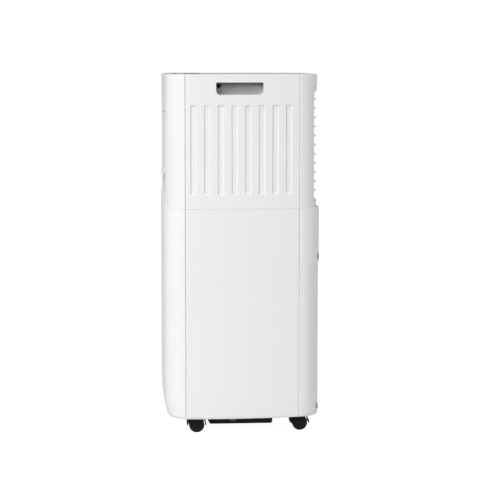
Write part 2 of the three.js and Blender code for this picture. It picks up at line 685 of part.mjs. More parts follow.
/** A closed outline from a half that starts and ends on the middle plane. */
function wholeFromHalf(half) {
  const other = mirrored(half);
  return [...half, ...other].filter(([x, y], i, all) => {
    const [px, py] = all[(i + all.length - 1) % all.length];
    return Math.hypot(x - px, y - py) > 1e-3;
  });
}

// ---- Air path inside: fan and coils -------------------------------------------------------

function fan() {
  const centre = [0, FAN_Z];
  const plate = box([-114, 114], [56, 60], [447, 665]);
  const ring = bar("y", FAN_RADIUS + 7, [22, 59], centre, 28);
  const arms = [45, 135, 225, 315].map((deg) => {
    const a = (deg * Math.PI) / 180;
    const arm = new THREE.BoxGeometry(68, 4, 7);
    arm.translate(36 + 34, 0, 0).rotateY(-a).translate(0, 24, FAN_Z);
    return toSolid(arm);
  });
  const bore = bar("y", FAN_RADIUS + 3.5, [20, 70], centre, 28);
  const collar = cut(bar("y", 41, [16, 26], centre), bar("y", 37, [10, 30], centre));
  add("fan_shroud", join(cut(join(plate, ring), bore), ...arms, collar), "inner_plastic");

  const body = [[0, -24], [9, -24], [9, -20], [30, -20], [36, -14], [36, 20], [30, 24], [10, 24], [10, 26],
    [4.4, 26], [4.4, 8], [0, 8]];
  add("fan_motor", turned("y", body, centre, 20), "steel");

  const hubProfile = [[0, 10], [4, 10], [4, 29], [24, 29], [28, 32], [28, 52], [24, 54], [0, 54]];
  const hub = turned("y", hubProfile, centre, 18);
  const blades = [];
  const count = 7;
  for (let i = 0; i < count; i++) {
    const base = (2 * Math.PI * i) / count;
    const loops = [26, 50, 72, FAN_RADIUS].map((r, j) => {
      const sweep = 0.09 * j;
      const half = 15 / r + 0.12;
      const point = (t, y) => {
        const a = base + sweep + half * t;
        return [r * Math.cos(a), y, FAN_Z + r * Math.sin(a)];
      };
      return [point(-1, 33), point(0, 40), point(1, 50), point(1, 52), point(0, 42), point(-1, 35)];
    });
    blades.push(loft(loops));
  }
  add("fan_impeller", join(hub, ...blades), "inner_plastic");
}

/** A finned coil: a block of fins between two end plates, with return bends standing out. */
function coil(name, [y0, y1], rows) {
  const [z0, z1] = [448, 662];
  const fins = box([-106, 106], [y0 + 1, y1 - 1], [z0 + 3, z1 - 3]);
  const plates = [-107, 106].map((x) => box([x - 0.5, x + 1.5], [y0, y1], [z0, z1]));
  const bends = [];
  const pitch = (z1 - z0) / rows;
  for (let k = 0; k < rows; k++) {
    const z = z0 + (k + 0.5) * pitch;
    for (const side of [-1, 1]) {
      const span = side > 0 ? [105, 116] : [-116, -105];
      bends.push(box(span, [y0 + 6, y0 + 13], [z - 6, z + 6]));
    }
  }
  add(name, join(fins, ...plates, ...bends), "aluminium");
}

function drains() {
  const [z0, z1] = DECK_Z;
  const outline = fullOutline(UPPER, DECK_INSET);
  const trough = box([-118, 118], [62, 122], [z0 + 3.5, z1 + 1]);
  const pipeHole = bar("z", 9, [z0 - 1, z1 + 1], [-128, 34]);
  const otherHole = bar("z", 9, [z0 - 1, z1 + 1], [-128, 60]);
  const drip = bar("z", 4, [z0 - 1, z1 + 1], [60, 92], 12);
  add("drip_tray", cut(prism(outline, DECK_Z), trough, pipeHole, otherHole, drip), "inner_plastic");

  const route = [[126, 345], [112, 348], [104, 362]].map(([y, z]) => [DRAIN_X, y, z]);
  const upperTail = pipe([...route, [DRAIN_X - 2, 102, 433]], 5, 12);
  add("upper_drain_spout", join(drainTube(UPPER_DRAIN_Z, 120), upperTail), "inner_plastic");
  add("lower_drain_spout", drainTube(LOWER_DRAIN_Z, 95.4), "inner_plastic");
  drainPlug("upper_drain_plug", UPPER_DRAIN_Z, 150.4);
  drainPlug("lower_drain_plug", LOWER_DRAIN_Z, 149.2);
}

/** A straight spout with a bore open at the back, along Y at a height. */
function drainTube(z, from) {
  const outside = [[0, from], [5.4, from], [5.4, 138], [7.6, 138], [7.6, 140], [5.4, 140], [5.4, 148]];
  const profile = [...outside, [3.6, 148], [3.6, 128], [0, 128]];
  return turned("y", profile, [DRAIN_X, z], 14);
}

/** A rubber plug pushed into a spout from behind. */
function drainPlug(name, z, face) {
  const shank = [[0, 132], [3, 132], [3.3, 135], [3.3, 148.4]];
  const profile = [...shank, [6.6, 148.4], [6.6, face + 1], [5.6, face + 2], [0, face + 2]];
  add(name, turned("y", profile, [DRAIN_X, z], 14), "rubber");
}

// ---- Refrigeration, tank and base ---------------------------------------------------------

function refrigeration() {
  const centre = [-62, 4];
  const shell = [[0, 46], [44, 46], [54, 56], [57, 70], [57, 178], [52, 196], [38, 208], [0, 212]];
  const drain = [[0, 40], [12, 40], [12, 56]];
  const hollow = [...drain, [42, 60], [46, 70], [46, 176], [44, 186], [34, 198], [0, 202]];
  const feet = [90, 210, 330].map((deg) => {
    const a = (deg * Math.PI) / 180;
    const foot = new THREE.BoxGeometry(30, 24, 5);
    foot.translate(58, 0, 0).rotateZ(a).translate(centre[0], centre[1], 50);
    return toSolid(foot);
  });
  const posts = [90, 210, 330].map((deg) => {
    const a = (deg * Math.PI) / 180;
    const at = [centre[0] + 64 * Math.cos(a), centre[1] + 64 * Math.sin(a)];
    return bar("z", 8, [BASE_Z[1] + GAP, 51], at, 10);
  });
  const terminals = box([-76, -44], [-66, -46], [120, 158]);
  const can = join(turned("z", shell, centre, 20), ...feet, ...posts, terminals);
  add("compressor", cut(can, turned("z", hollow, centre, 16)), "compressor_black");

  const suction = [[-62, 4, 213], [-62, 4, 240], [-80, 12, 262], [-122, 34, 300], [-128, 34, 420],
    [-128, 34, 500], [-128, 70, 540], [-128, 100, 560]];
  const discharge = [[-30, 40, 213], [-30, 44, 236], [-60, 60, 260], [-120, 60, 290], [-128, 60, 420],
    [-128, 60, 480], [-124, 72, 500], [-121, 76, 540]];
  add("suction_pipe", pipe(suction, 4, 22, 6), "copper");
  add("discharge_pipe", join(pipe(discharge, 3, 22, 6), bar("z", 3, [206, 215], [-30, 40], 6)), "copper");
  add("run_capacitor", bar("z", 20, [BASE_Z[1] + GAP, 120], [-104, -88], 16), "aluminium");
}

function waterTank() {
  const [x0, x1, y0, y1, z0, z1] = [12, 142, -90, 95, 42, 210];
  const outer = box([x0, x1], [y0, y1], [z0, z1]);
  const tank = cut(outer, box([x0 + 2.5, x1 - 2.5], [y0 + 2.5, y1 - 2.5], [z0 + 2.5, z1 + 1]));
  const posts = [25, 35].map((y) => box([x0 + 2, x0 + 10], [y - 2, y + 2], [176, 196]));
  const hinge = bar("y", 1.9, [20, 40], [x0 + 7, 190], 12);
  add("condensate_tank", cut(join(tank, ...posts), hinge), "inner_plastic");

  const arm = box([x0 + 6, x0 + 46], [28, 32], [188.4, 191.6]);
  const float = box([x0 + 44, x0 + 84], [15, 45], [172, 194]);
  const pin = bar("y", 1.5, [24, 36], [x0 + 7, 190], 12);
  add("float_arm", join(arm, float, pin), "inner_plastic");
}

function basePan() {
  const outline = fullOutline(LOWER, 7).map(([x, y]) => [x, Math.max(y, FRONT_Y + 18)]);
  const plate = prism(outline, BASE_Z);
  const [y0, y1] = SUMP_Y;
  const brim = BASE_Z[0] + 1;
  const floor = [[y0, SUMP_Z + 6], [y0 + 4, SUMP_Z], [y1 - 3, SUMP_Z], [y1, SUMP_Z + 3]];
  const profile = [...floor, [y1, brim], [y0, brim]];
  const sump = prismX(profile, [-SUMP_X, SUMP_X]);
  const hollow = [8, SUMP_X - 3];
  const holes = Object.values(CASTERS).map((at) => bar("z", 4.4, [20, 60], at, 16));
  const pan = cut(
    join(plate, sump),
    box(hollow, [y0 + 5, y1 - 4], [SUMP_Z + 3, 60]),
    box([-SUMP_X + 3, -8], [y0 + 5, y1 - 4], [SUMP_Z - 1, BASE_Z[0] - 1]),
    bar("x", 5, [SUMP_X - 6, SUMP_X + 4], [-17, 26], 16),
    ...holes,
  );
  add("base_pan", pan, "black");

  const ring = [[4.6, -4], [4.6, GAP], [7.5, GAP], [7.5, 1.6], [6.6, 2.4], [5, 2.4]];
  const plug = [[0, -4], ...ring, [5, 1.2], [2.4, 1.2], [2.4, 2.2], [0, 2.2]];
  add("pan_plug", turned("x", plug.map(([r, h]) => [r, SUMP_X + h]), [-17, 26], 16), "light_grey");

  const gland = [[3.4, 138], [6.6, 138], [6.6, BACK_Y + GAP], [9.5, BACK_Y + GAP], [9.5, BACK_Y + 1],
    [8.6, BACK_Y + 1.5], [3.4, BACK_Y + 1.5], [3.4, 138]];
  add("cord_inlet", turned("y", gland, [INLET_X, INLET_Z], 16), "black");
}

// ---- Casters ------------------------------------------------------------------------------

function caster(place, [x, y]) {
  const axleY = y + CASTER_TRAIL;
  const hoodHalf = WHEEL_GAP + WHEEL_WIDTH + 1.4;
  const [outer, inner] = [19, 17];
  const arc = (r, steps) => {
    const points = [];
    for (let i = 0; i <= steps; i++) {
      const a = (Math.PI * i) / steps;
      points.push([axleY + r * Math.cos(a), WHEEL_RADIUS + r * Math.sin(a)]);
    }
    return points;
  };
  const hood = prismX([...arc(outer, 8), ...arc(inner, 8).reverse()], [x - hoodHalf, x + hoodHalf]);
  const web = bar("x", 10, [x - WHEEL_GAP + 0.6, x + WHEEL_GAP - 0.6], [axleY, WHEEL_RADIUS], 10);
  const neck = box([x - 4, x + 4], [y - 6, axleY + 4], [WHEEL_RADIUS, WHEEL_RADIUS + 17.6]);
  const post = [[0, 24], [4, 24], [4, 27.4], [6.4, 27.4], [6.4, BASE_Z[0] - GAP], [4, BASE_Z[0] - GAP],
    [4, BASE_Z[1] + 2], [0, BASE_Z[1] + 2]];
  const stem = turned("z", post, [x, y], 10);
  const axleHole = bar("x", 2.6, [x - 8, x + 8], [axleY, WHEEL_RADIUS], 10);
  add(`caster_housing_${place}`, cut(join(hood, web, neck, stem), axleHole), "black");

  const [a, b] = [WHEEL_GAP, WHEEL_GAP + WHEEL_WIDTH];
  const profile = [[0, a], [WHEEL_RADIUS - 1.2, a], [WHEEL_RADIUS, a + 1.2], [WHEEL_RADIUS, b - 1.8],
    [WHEEL_RADIUS - 1.6, b], [0, b]];
  const side = (sign) => turned("x", profile.map(([r, h]) => [r, x + sign * h]), [axleY, WHEEL_RADIUS], 20);
  const axle = bar("x", 2.1, [x - a - 1, x + a + 1], [axleY, WHEEL_RADIUS], 8);
  add(`caster_wheels_${place}`, join(side(1), side(-1), axle), "black");
}

// ---- Assembly -----------------------------------------------------------------------------

lowerCasing();
upperCasing();
gripCups();
topCover();
outletFlap();
outletDuct();
rearGrille();
fan();
coil("evaporator_coil", [98, 122], 6);
coil("condenser_coil", [66, 94], 6);
drains();
refrigeration();
waterTank();
basePan();
Object.entries(CASTERS).forEach(([place, at]) => caster(place, at));

export default dehumidifier;
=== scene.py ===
# %% [markdown]
# # A slim tower dehumidifier on casters
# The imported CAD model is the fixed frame: it says where every part sits and how it moves.
# Here each visible part gets its final surface and finish. All shapes are worked out in
# millimetres, because that is how such parts are drawn, and turned into metres at the end.

# %% Load the frame
import math
import bmesh
import bpy
import numpy as np
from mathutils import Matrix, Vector


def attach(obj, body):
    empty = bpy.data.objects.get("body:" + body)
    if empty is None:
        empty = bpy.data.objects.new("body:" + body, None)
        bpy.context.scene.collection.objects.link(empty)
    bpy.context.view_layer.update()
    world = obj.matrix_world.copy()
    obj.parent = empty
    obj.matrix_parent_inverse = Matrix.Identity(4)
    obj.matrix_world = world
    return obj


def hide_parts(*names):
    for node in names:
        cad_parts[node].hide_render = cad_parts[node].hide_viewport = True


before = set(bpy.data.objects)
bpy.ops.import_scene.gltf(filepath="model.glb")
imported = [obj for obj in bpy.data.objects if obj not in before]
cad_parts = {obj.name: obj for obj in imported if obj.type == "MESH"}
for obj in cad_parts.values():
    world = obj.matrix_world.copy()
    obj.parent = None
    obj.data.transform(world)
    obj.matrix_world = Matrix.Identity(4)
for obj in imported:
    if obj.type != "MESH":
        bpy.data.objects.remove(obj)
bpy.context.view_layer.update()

# %% [markdown]
# ## The camera
# A tall object keeps its upright lines parallel when it is seen from far away through a long
# lens. The camera stands 3.3 m off the right side, a little towards the front, just above the
# height of the top cover, so that the top shows as a thin line.

# %% Camera
LENS_MM = 130
EYE = Vector((3.4865, -0.2380, 0.7326))
GAZE = Vector((-0.9921, 0.0694, -0.1050))
lens = bpy.data.cameras.new("camera")
lens.lens = LENS_MM
lens.sensor_width = 36
camera = bpy.data.objects.new("camera", lens)
camera.location = EYE
camera.rotation_euler = GAZE.to_track_quat("-Z", "Y").to_euler()
bpy.context.scene.collection.objects.link(camera)
bpy.context.scene.camera = camera
print("camera at", tuple(EYE), "lens", LENS_MM)

# %% [markdown]
# ## Node trees written as expressions
# A material is a small sum of patterns. Writing it as Python arithmetic keeps it readable, so
# a Signal wraps one socket, and adding or multiplying signals lays down Math nodes.

# %% Signals and benches
class Signal:
    """One output socket. Arithmetic on it adds Math nodes to the same tree."""

    def __init__(self, bench, socket):
        self.bench, self.socket = bench, socket

    def maths(self, operation, a, b=0.0):
        return self.bench.node("ShaderNodeMath", {"operation": operation}, {0: a, 1: b})

    def __add__(self, other):
        return self.maths("ADD", self, other)

    def __sub__(self, other):
        return self.maths("SUBTRACT", self, other)

    def __rsub__(self, other):
        return self.maths("SUBTRACT", other, self)

    def __mul__(self, other):
        return self.maths("MULTIPLY", self, other)

    def __truediv__(self, other):
        return self.maths("DIVIDE", self, other)

    def __gt__(self, other):
        return self.maths("GREATER_THAN", self, other)

    def __lt__(self, other):
        return self.maths("LESS_THAN", self, other)

    __radd__ = __add__
    __rmul__ = __mul__

    def is_near(self, value, reach):
        """1 where the signal is within reach of value, else 0."""
        return self.bench.node("ShaderNodeMath", {"operation": "COMPARE"}, {0: self, 1: value, 2: reach})


class Bench:
    """A node tree under construction."""

    def __init__(self, tree):
        self.tree = tree
        tree.nodes.clear()

    def node(self, kind, settings=(), sockets=(), out=0):
        """A node of a kind: its settings first, then a value or a link for each socket."""
        made = self.tree.nodes.new(kind)
        for key, value in dict(settings).items():
            if key == "stops":
                ramp = made.color_ramp
                for k, (place, colour) in enumerate(value):
                    stop = ramp.elements[k] if k < 2 else ramp.elements.new(place)
                    stop.position, stop.color = place, (*colour, 1)
            else:
                setattr(made, key, value)
        for key, value in dict(sockets).items():
            if isinstance(value, Signal):
                self.tree.links.new(value.socket, made.inputs[key])
            else:
                made.inputs[key].default_value = value
        return Signal(self, made.outputs[out]) if len(made.outputs) else None

    def axes(self):
        """The object's own x, y and z in millimetres, and the coordinate itself in metres."""
        place = self.node("ShaderNodeTexCoord", out=3)
        split = self.node("ShaderNodeSeparateXYZ", sockets={0: place}).socket.node
        return place, [Signal(self, split.outputs[k]) * 1000 for k in range(3)]

    def noise(self, place, scale, detail=2.0):
        """Noise between 0 and 1, with features one over scale metres wide."""
        return self.node("ShaderNodeTexNoise", sockets={"Vector": place, "Scale": scale, "Detail": detail})

    def blend(self, factor, a, b):
        """A colour between a and b."""
        a, b = [c if isinstance(c, Signal) else (*c, 1) for c in (a, b)]
        return self.node("ShaderNodeMix", {"data_type": "RGBA"}, {0: factor, 6: a, 7: b}, out=2)

    def teeth(self, axis, pitch):
        """A triangle wave along an axis: 0 at each multiple of the pitch and 1 half way between."""
        phase = self.node("ShaderNodeMath", {"operation": "FRACT"}, {0: axis / pitch})
        return self.node("ShaderNodeMath", {"operation": "PINGPONG"}, {0: phase, 1: 0.5}) * 2


def grey(value):
    """A neutral colour as linear light."""
    return (value, value, value)


# %% [markdown]
# ## Stage and light
# The object stands on a white floor in a round white room. The room is brightest between front
# and right, dim straight to the right and lighter again behind, so a white casing shows its form
# through soft steps of grey. A tall lamp near the front draws the bright line on the corner.

# %% Floor
FLOOR_HALF = 30.0
floor_mesh = bpy.data.meshes.new("floor")
corners = [(-FLOOR_HALF, -FLOOR_HALF, 0), (FLOOR_HALF, -FLOOR_HALF, 0),
           (FLOOR_HALF, FLOOR_HALF, 0), (-FLOOR_HALF, FLOOR_HALF, 0)]
floor_mesh.from_pydata(corners, [], [(0, 1, 2, 3)])
floor = bpy.data.objects.new("floor", floor_mesh)
bpy.context.scene.collection.objects.link(floor)
floor_paint = bpy.data.materials.new("studio_floor")
floor_paint.use_nodes = True
bench = Bench(floor_paint.node_tree)
FLOOR_SEEN, FLOOR_BOUNCE, FLOOR_WHITE = 0.97, 0.42, 0.20
seen = bench.node("ShaderNodeLightPath", out=0)
glow = bench.blend(seen, grey(FLOOR_BOUNCE), grey(FLOOR_SEEN))
shader = bench.node(
    "ShaderNodeBsdfPrincipled",
    sockets={"Base Color": (*grey(FLOOR_WHITE), 1), "Roughness": 0.9, "Specular IOR Level": 0.0,
             "Emission Color": glow, "Emission Strength": 1.0},
)
bench.node("ShaderNodeOutputMaterial", sockets={0: shader})
floor_mesh.materials.append(floor_paint)

# %% Room
room = bpy.data.worlds.new("room")
bpy.context.scene.world = room
room.use_nodes = True
bench = Bench(room.node_tree)
# Brightness by direction round the object: degrees from +X towards +Y, and strength.
ROOM_LIGHT = ((-180, 0.45), (-100, 0.15), (-75, 0.25), (-55, 2.0), (-38, 4.4), (-22, 3.4), (-5, 0.95),
              (8, 0.3), (25, 0.3), (45, 0.25), (80, 0.5), (105, 1.8), (130, 0.8), (180, 0.45))
ROOM_MOST, ROOM_SEEN = 5.0, 1.05
ROOM_LOW, ROOM_RISE = 0.5, 1.1
direction = bench.node("ShaderNodeTexCoord", out=0)
parts = bench.node("ShaderNodeSeparateXYZ", sockets={0: direction}).socket.node
across, along, up = [Signal(bench, socket) for socket in parts.outputs]
turn = bench.node("ShaderNodeMath", {"operation": "ARCTAN2"}, {0: along, 1: across})
stops = [(degrees / 360 + 0.5, grey(value / ROOM_MOST)) for degrees, value in ROOM_LIGHT]
share = turn / (2 * math.pi) + 0.5
level = bench.node("ShaderNodeValToRGB", {"stops": stops}, {0: share}) * ROOM_MOST
seen = bench.node("ShaderNodeLightPath", out=0)
strength = level * (up * ROOM_RISE + ROOM_LOW) * (1 - seen) + seen * ROOM_SEEN
shade = bench.node("ShaderNodeBackground", sockets={0: (1, 1, 1, 1), 1: strength})
bench.node("ShaderNodeOutputWorld", sockets={0: shade})


# %% Soft boxes
def softbox(name, place, target, size, power):
    """A rectangular lamp at a place, turned to a target."""
    lamp = bpy.data.lights.new(name, "AREA")
    lamp.shape = "RECTANGLE"
    lamp.size, lamp.size_y = size
    lamp.energy = power
    holder = bpy.data.objects.new(name, lamp)
    holder.location = place
    holder.rotation_euler = (Vector(target) - Vector(place)).to_track_quat("-Z", "Y").to_euler()
    holder.visible_camera = False
    bpy.context.scene.collection.objects.link(holder)


MIDDLE = (0, 0, 0.35)
softbox("front_corner_light", (1.6, -1.9, 0.5), MIDDLE, (0.5, 2.0), 5)
softbox("top_light", (0.6, -0.4, 2.6), MIDDLE, (2.0, 2.0), 2)
bpy.context.scene.view_settings.view_transform = "Standard"
print("stage ready:", len(bpy.data.lights), "lamps")

# %% [markdown]
# ## Finishes
# Moulded plastic is never quite flat: the tool leaves a fine grain and the colour drifts a
# little from place to place. One function makes such a plastic, or rubber, from a tone, a gloss
# and the size and depth of its grain. Metals, fins and mesh get functions of their own.

# %% Moulded plastic
paints = {}


def keep_paint(name, colour, rough, normal, metallic=0.0, specular=0.5):
    """Give the colour's bench its shader, and file the material under its name."""
    bench = colour.bench
    shader = bench.node(
        "ShaderNodeBsdfPrincipled",
        sockets={"Base Color": colour, "Roughness": rough, "Metallic": metallic,
                 "Specular IOR Level": specular, "Normal": normal},
    )
    bench.node("ShaderNodeOutputMaterial", sockets={0: shader})
    paints[name] = bench.material


def new_bench(name):
    """A bench for a new material, with its coordinate and its three axes."""
    material = bpy.data.materials.new(name)
    material.use_nodes = True
    bench = Bench(material.node_tree)
    bench.material = material
    return bench, *bench.axes()


def relief(bench, height, millimetres):
    """A Normal from a height between 0 and 1 that stands for so many millimetres."""
    reach = millimetres / 1000
    return bench.node("ShaderNodeBump", sockets={"Strength": 1.0, "Distance": reach, "Height": height})


def plastic(name, tone, rough, grain_mm=0.6, depth_mm=0.006, drift=0.015, specular=0.4):
    """Moulded plastic: a fine spark-eroded grain, and a tone and gloss that drift slightly."""
    bench, place, _ = new_bench(name)
    broad = bench.noise(place, 5.0, 3.0)
    grain = bench.noise(place, 1000 / grain_mm, 2.0)
    colour = bench.blend(broad, grey(tone * (1 - drift)), grey(tone * (1 + drift)))
    gloss = (broad - 0.5) * 0.06 + (grain - 0.5) * 0.05 + rough
    keep_paint(name, colour, gloss, relief(bench, grain, depth_mm), specular=specular)


plastic("white_casing", 0.80, 0.42, specular=0.35)
plastic("pale_grey_top", 0.36, 0.50)
plastic("black_chassis", 0.010, 0.55, grain_mm=0.9, depth_mm=0.012, drift=0.10, specular=0.16)
plastic("inner_plastic", 0.60, 0.55, drift=0.03)
plastic("dark_gloss", 0.016, 0.10, grain_mm=30, depth_mm=0.004, drift=0.05, specular=0.5)
plastic("rubber_stopper", 0.38, 0.80, grain_mm=1.5, depth_mm=0.03, drift=0.12, specular=0.25)
plastic("grey_plug", 0.20, 0.50)


def grip_plastic_with_painted_shade(name):
    """Grey plastic, duller towards the roof of the pocket and darkened there with painted shade."""
    ROOF_Z, CLEAR_Z = 685.0, 667.0
    bench, place, (_, _, z) = new_bench(name)
    high = bench.node("ShaderNodeMapRange", {"interpolation_type": "SMOOTHSTEP"},
                      {0: z, 1: CLEAR_Z, 2: ROOF_Z, 3: 0.0, 4: 1.0})
    rubbed = bench.noise(place, 30.0, 3.0)
    grain = bench.noise(place, 1600.0, 2.0)
    plain = bench.blend(rubbed, grey(0.72), grey(0.78))
    # Painted shade: the colour darkens towards the roof, standing in for the shadow under the slot's top
    # edge.
    shade = bench.blend(high, plain, grey(0.17))
    gloss = (grain - 0.5) * 0.06 + high * 0.2 + 0.5
    keep_paint(name, shade, gloss, relief(bench, grain, 0.006), specular=0.3)


grip_plastic_with_painted_shade("grey_grip_painted_shade")
print("plastics:", sorted(paints))


# %% Metals
def metal(name, colour, rough, stretch=(1, 1, 1)):
    """Bare metal with brushing or casting marks, drawn out along the axes by stretch."""
    bench, place, _ = new_bench(name)
    pulled = bench.node("ShaderNodeMapping", sockets={0: place, "Scale": stretch})
    marks = bench.noise(pulled, 400.0, 4.0)
    stain = bench.noise(place, 18.0, 3.0)
    shade = bench.blend(stain, tuple(c * 0.82 for c in colour), colour)
    gloss = (marks - 0.5) * 0.22 + rough
    keep_paint(name, shade, gloss, relief(bench, marks, 0.01), metallic=1.0)


metal("steel_zinc", (0.52, 0.53, 0.55), 0.36)
metal("copper_tube", (0.80, 0.42, 0.27), 0.34, stretch=(1, 1, 0.2))
metal("aluminium_can", (0.66, 0.67, 0.69), 0.38, stretch=(1, 1, 0.1))


def coil_fins(name):
    """Thin aluminium fins side by side along X, with painted shade in the gaps between them."""
    FIN_PITCH = 1.6
    bench, place, (x, _, _) = new_bench(name)
    ridge = bench.teeth(x, FIN_PITCH)
    dent = bench.noise(place, 60.0, 2.0)
    # Painted shade: the near-black stripes stand in for the shade deep in the gaps between the fins.
    between = bench.blend(ridge, (0.10, 0.10, 0.11), (0.72, 0.73, 0.75))
    shade = bench.blend(dent * 0.35, between, (0.42, 0.43, 0.45))
    keep_paint(name, shade, (dent - 0.5) * 0.2 + 0.42, relief(bench, ridge, 0.5), metallic=0.85)


coil_fins("fin_block")


def painted_can(name):
    """Black stove enamel on the compressor's pressed steel can, with a faint orange peel."""
    bench, place, _ = new_bench(name)
    peel = bench.noise(place, 320.0, 2.0)
    dust = bench.noise(place, 25.0, 4.0)
    shade = bench.blend(dust * 0.5, (0.012, 0.012, 0.014), (0.035, 0.035, 0.037))
    keep_paint(name, shade, dust * 0.2 + 0.28, relief(bench, peel, 0.05))


painted_can("black_enamel")


def circuit(name):
    """Green solder mask with paler copper pads under it, in squarish cells."""
    bench, place, _ = new_bench(name)
    cells = bench.node(
        "ShaderNodeTexVoronoi", {"distance": "MANHATTAN"}, {"Vector": place, "Scale": 160.0}
    )
    tracks = cells < 0.30
    shade = bench.blend(tracks, (0.012, 0.10, 0.035), (0.03, 0.20, 0.07))
    keep_paint(name, shade, tracks * 0.1 + 0.35, relief(bench, tracks, 0.04))


circuit("board_green")


def filter_net(name):
    """A woven nylon net: fine threads both ways, with painted shade in the openings between them."""
    THREAD_PITCH = 1.8
    bench, _, (x, _, z) = new_bench(name)
    waves = {0: bench.teeth(x, THREAD_PITCH), 1: bench.teeth(z, THREAD_PITCH)}
    thread = bench.node("ShaderNodeMath", {"operation": "MAXIMUM"}, waves)
    solid = thread > 0.55
    # Painted shade: the near-black openings stand in for the unlit inside seen through the weave.
    shade = bench.blend(solid, (0.012, 0.013, 0.014), (0.16, 0.17, 0.18))
    keep_paint(name, shade, solid * 0.1 + 0.6, relief(bench, thread, 0.3))


filter_net("filter_net")
print("finishes:", len(paints))

# %% [markdown]
# ## From number grids to closed meshes
# Every new part is a surface computed with numpy: a whole grid of points at once. The helpers
# below join such grids, drop doubled points where grids meet, and make a Blender object with
# its faces outwards and its edges sharp only where the surface really turns.

# %% Grids to objects
MM = 0.001
WELD_MM = 0.002
SHARP = math.radians(38)
made_pieces = []


def grid(points, wrap=False):
    """A grid of points as (points, faces): one quad between each four neighbours.

    With wrap, the last column joins the first, so each row is a closed ring.
    """
    rows, columns = points.shape[:2]
    index = np.arange(rows * columns).reshape(rows, columns)
    if wrap:
        index = np.concatenate([index, index[:, :1]], axis=1)
    faces = np.stack([index[:-1, :-1], index[1:, :-1], index[1:, 1:], index[:-1, 1:]], axis=-1)
    return points.reshape(-1, 3), faces.reshape(-1, 4)


def joined(*parts):
    """Several (points, faces) as one, with the face numbers carried on."""
    starts = np.cumsum([0] + [len(points) for points, _ in parts])
    points = np.concatenate([points for points, _ in parts])
    faces = np.concatenate([faces + start for (_, faces), start in zip(parts, starts)])
    return points, faces


def welded(points, faces):
    """The same surface with doubled points merged and flattened faces dropped."""
    keys = np.round(points / WELD_MM).astype(np.int64)
    _, first, number = np.unique(keys, axis=0, return_index=True, return_inverse=True)
    faces = number.reshape(-1)[faces]
    same = [faces[:, k] == faces[:, (k + 1) % 4] for k in range(4)]
    crossed = (faces[:, 0] == faces[:, 2]) | (faces[:, 1] == faces[:, 3])
    count = sum(s.astype(int) for s in same)
    quads = faces[(count == 0) & ~crossed]
    slim = [np.delete(faces[(count == 1) & same[k] & ~crossed], k, axis=1) for k in range(4)]
    return points[first], quads, np.concatenate(slim)


def build(name, surface, paint, body, replaced):
    """A finished piece: closed, outward, smooth, painted, and riding on its body."""
    points, quads, triangles = welded(*surface)
    mesh = bpy.data.meshes.new(name)
    mesh.from_pydata((points * MM).tolist(), [], quads.tolist() + triangles.tolist())
    work = bmesh.new()
    work.from_mesh(mesh)
    bmesh.ops.recalc_face_normals(work, faces=work.faces)
    work.to_mesh(mesh)
    open_edges = sum(not edge.is_manifold for edge in work.edges)
    work.free()
    mesh.polygons.foreach_set("use_smooth", np.ones(len(mesh.polygons), bool))
    mesh.set_sharp_from_angle(angle=SHARP)
    mesh.materials.append(paints[paint])
    piece = bpy.data.objects.new(name, mesh)
    bpy.context.scene.collection.objects.link(piece)
    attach(piece, body)
    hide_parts(*replaced)
    made_pieces.append(name)
    print(f"{name}: {len(mesh.polygons)} faces, {open_edges} open edges")


# %% [markdown]
# ## Rounded profiles
# Real parts have small radii on every edge, and those are what catch the light. A profile is
# drawn with sharp corners, and each corner is then replaced by a short curve.


# %% Rounding and turning
CORNER_SHARE = 0.45


def rounded(profile, radius, steps=3, closed=False):
    """A polyline with its corners replaced by quadratic curves.

    Each corner P between A and B becomes (1-q)^2 (P + t a) + 2 q (1-q) P + q^2 (P + t b), with a
    and b unit vectors towards A and B, and t the radius, at most CORNER_SHARE of the shorter side.
    """
    p = np.asarray(profile, float)
    before, after = np.roll(p, 1, 0) - p, np.roll(p, -1, 0) - p
    if not closed:
        before[0], after[-1] = after[0], before[-1]
    long_before = np.linalg.norm(before, axis=1, keepdims=True)
    long_after = np.linalg.norm(after, axis=1, keepdims=True)
    reach = np.minimum(radius, CORNER_SHARE * np.minimum(long_before, long_after))
    if not closed:
        reach[[0, -1]] = 0
    q = np.linspace(0, 1, steps + 1)[None, :, None]
    start = (p + before / long_before * reach)[:, None]
    end = (p + after / long_after * reach)[:, None]
    curve = (1 - q) ** 2 * start + 2 * q * (1 - q) * p[:, None] + q**2 * end
    return curve.reshape(-1, p.shape[1])


def turned(axis, profile, centre, radius=0.4, sides=48, steps=3):
    """A profile of (radius, height) turned about a line along an axis through a centre."""
    r, h = rounded(profile, radius, steps).T
    angle = np.linspace(0, 2 * np.pi, sides, endpoint=False)
    u, v = r[:, None] * np.cos(angle), r[:, None] * np.sin(angle)
    w = np.broadcast_to(h[:, None], u.shape)
    a, b = centre
    order = {"x": (w, u + a, v + b), "y": (u + a, w, v + b), "z": (u + a, v + b, w)}[axis]
    return grid(np.stack(order, -1), wrap=True)


def drawn(stations):
    """A closed section carried along a row of frames, with a flat cap at each end.

    stations is an array (rows, points, 3) that already holds the section at each frame; the caps
    are rings that shrink to the section's middle.
    """
    hub = lambda ring: np.repeat(ring.mean(axis=1, keepdims=True), stations.shape[1], axis=1)
    return grid(np.concatenate([hub(stations[:1]), stations, hub(stations[-1:])]), wrap=True)


def block(x_span, y_span, z_span, radius, steps=3):
    """A bar along Z with rounded upright edges and flat ends."""
    (x0, x1), (y0, y1) = x_span, y_span
    plan = rounded([(x0, y0), (x1, y0), (x1, y1), (x0, y1)], radius, steps, closed=True)
    return drawn(np.stack([np.column_stack([plan, np.full(len(plan), h)]) for h in z_span]))


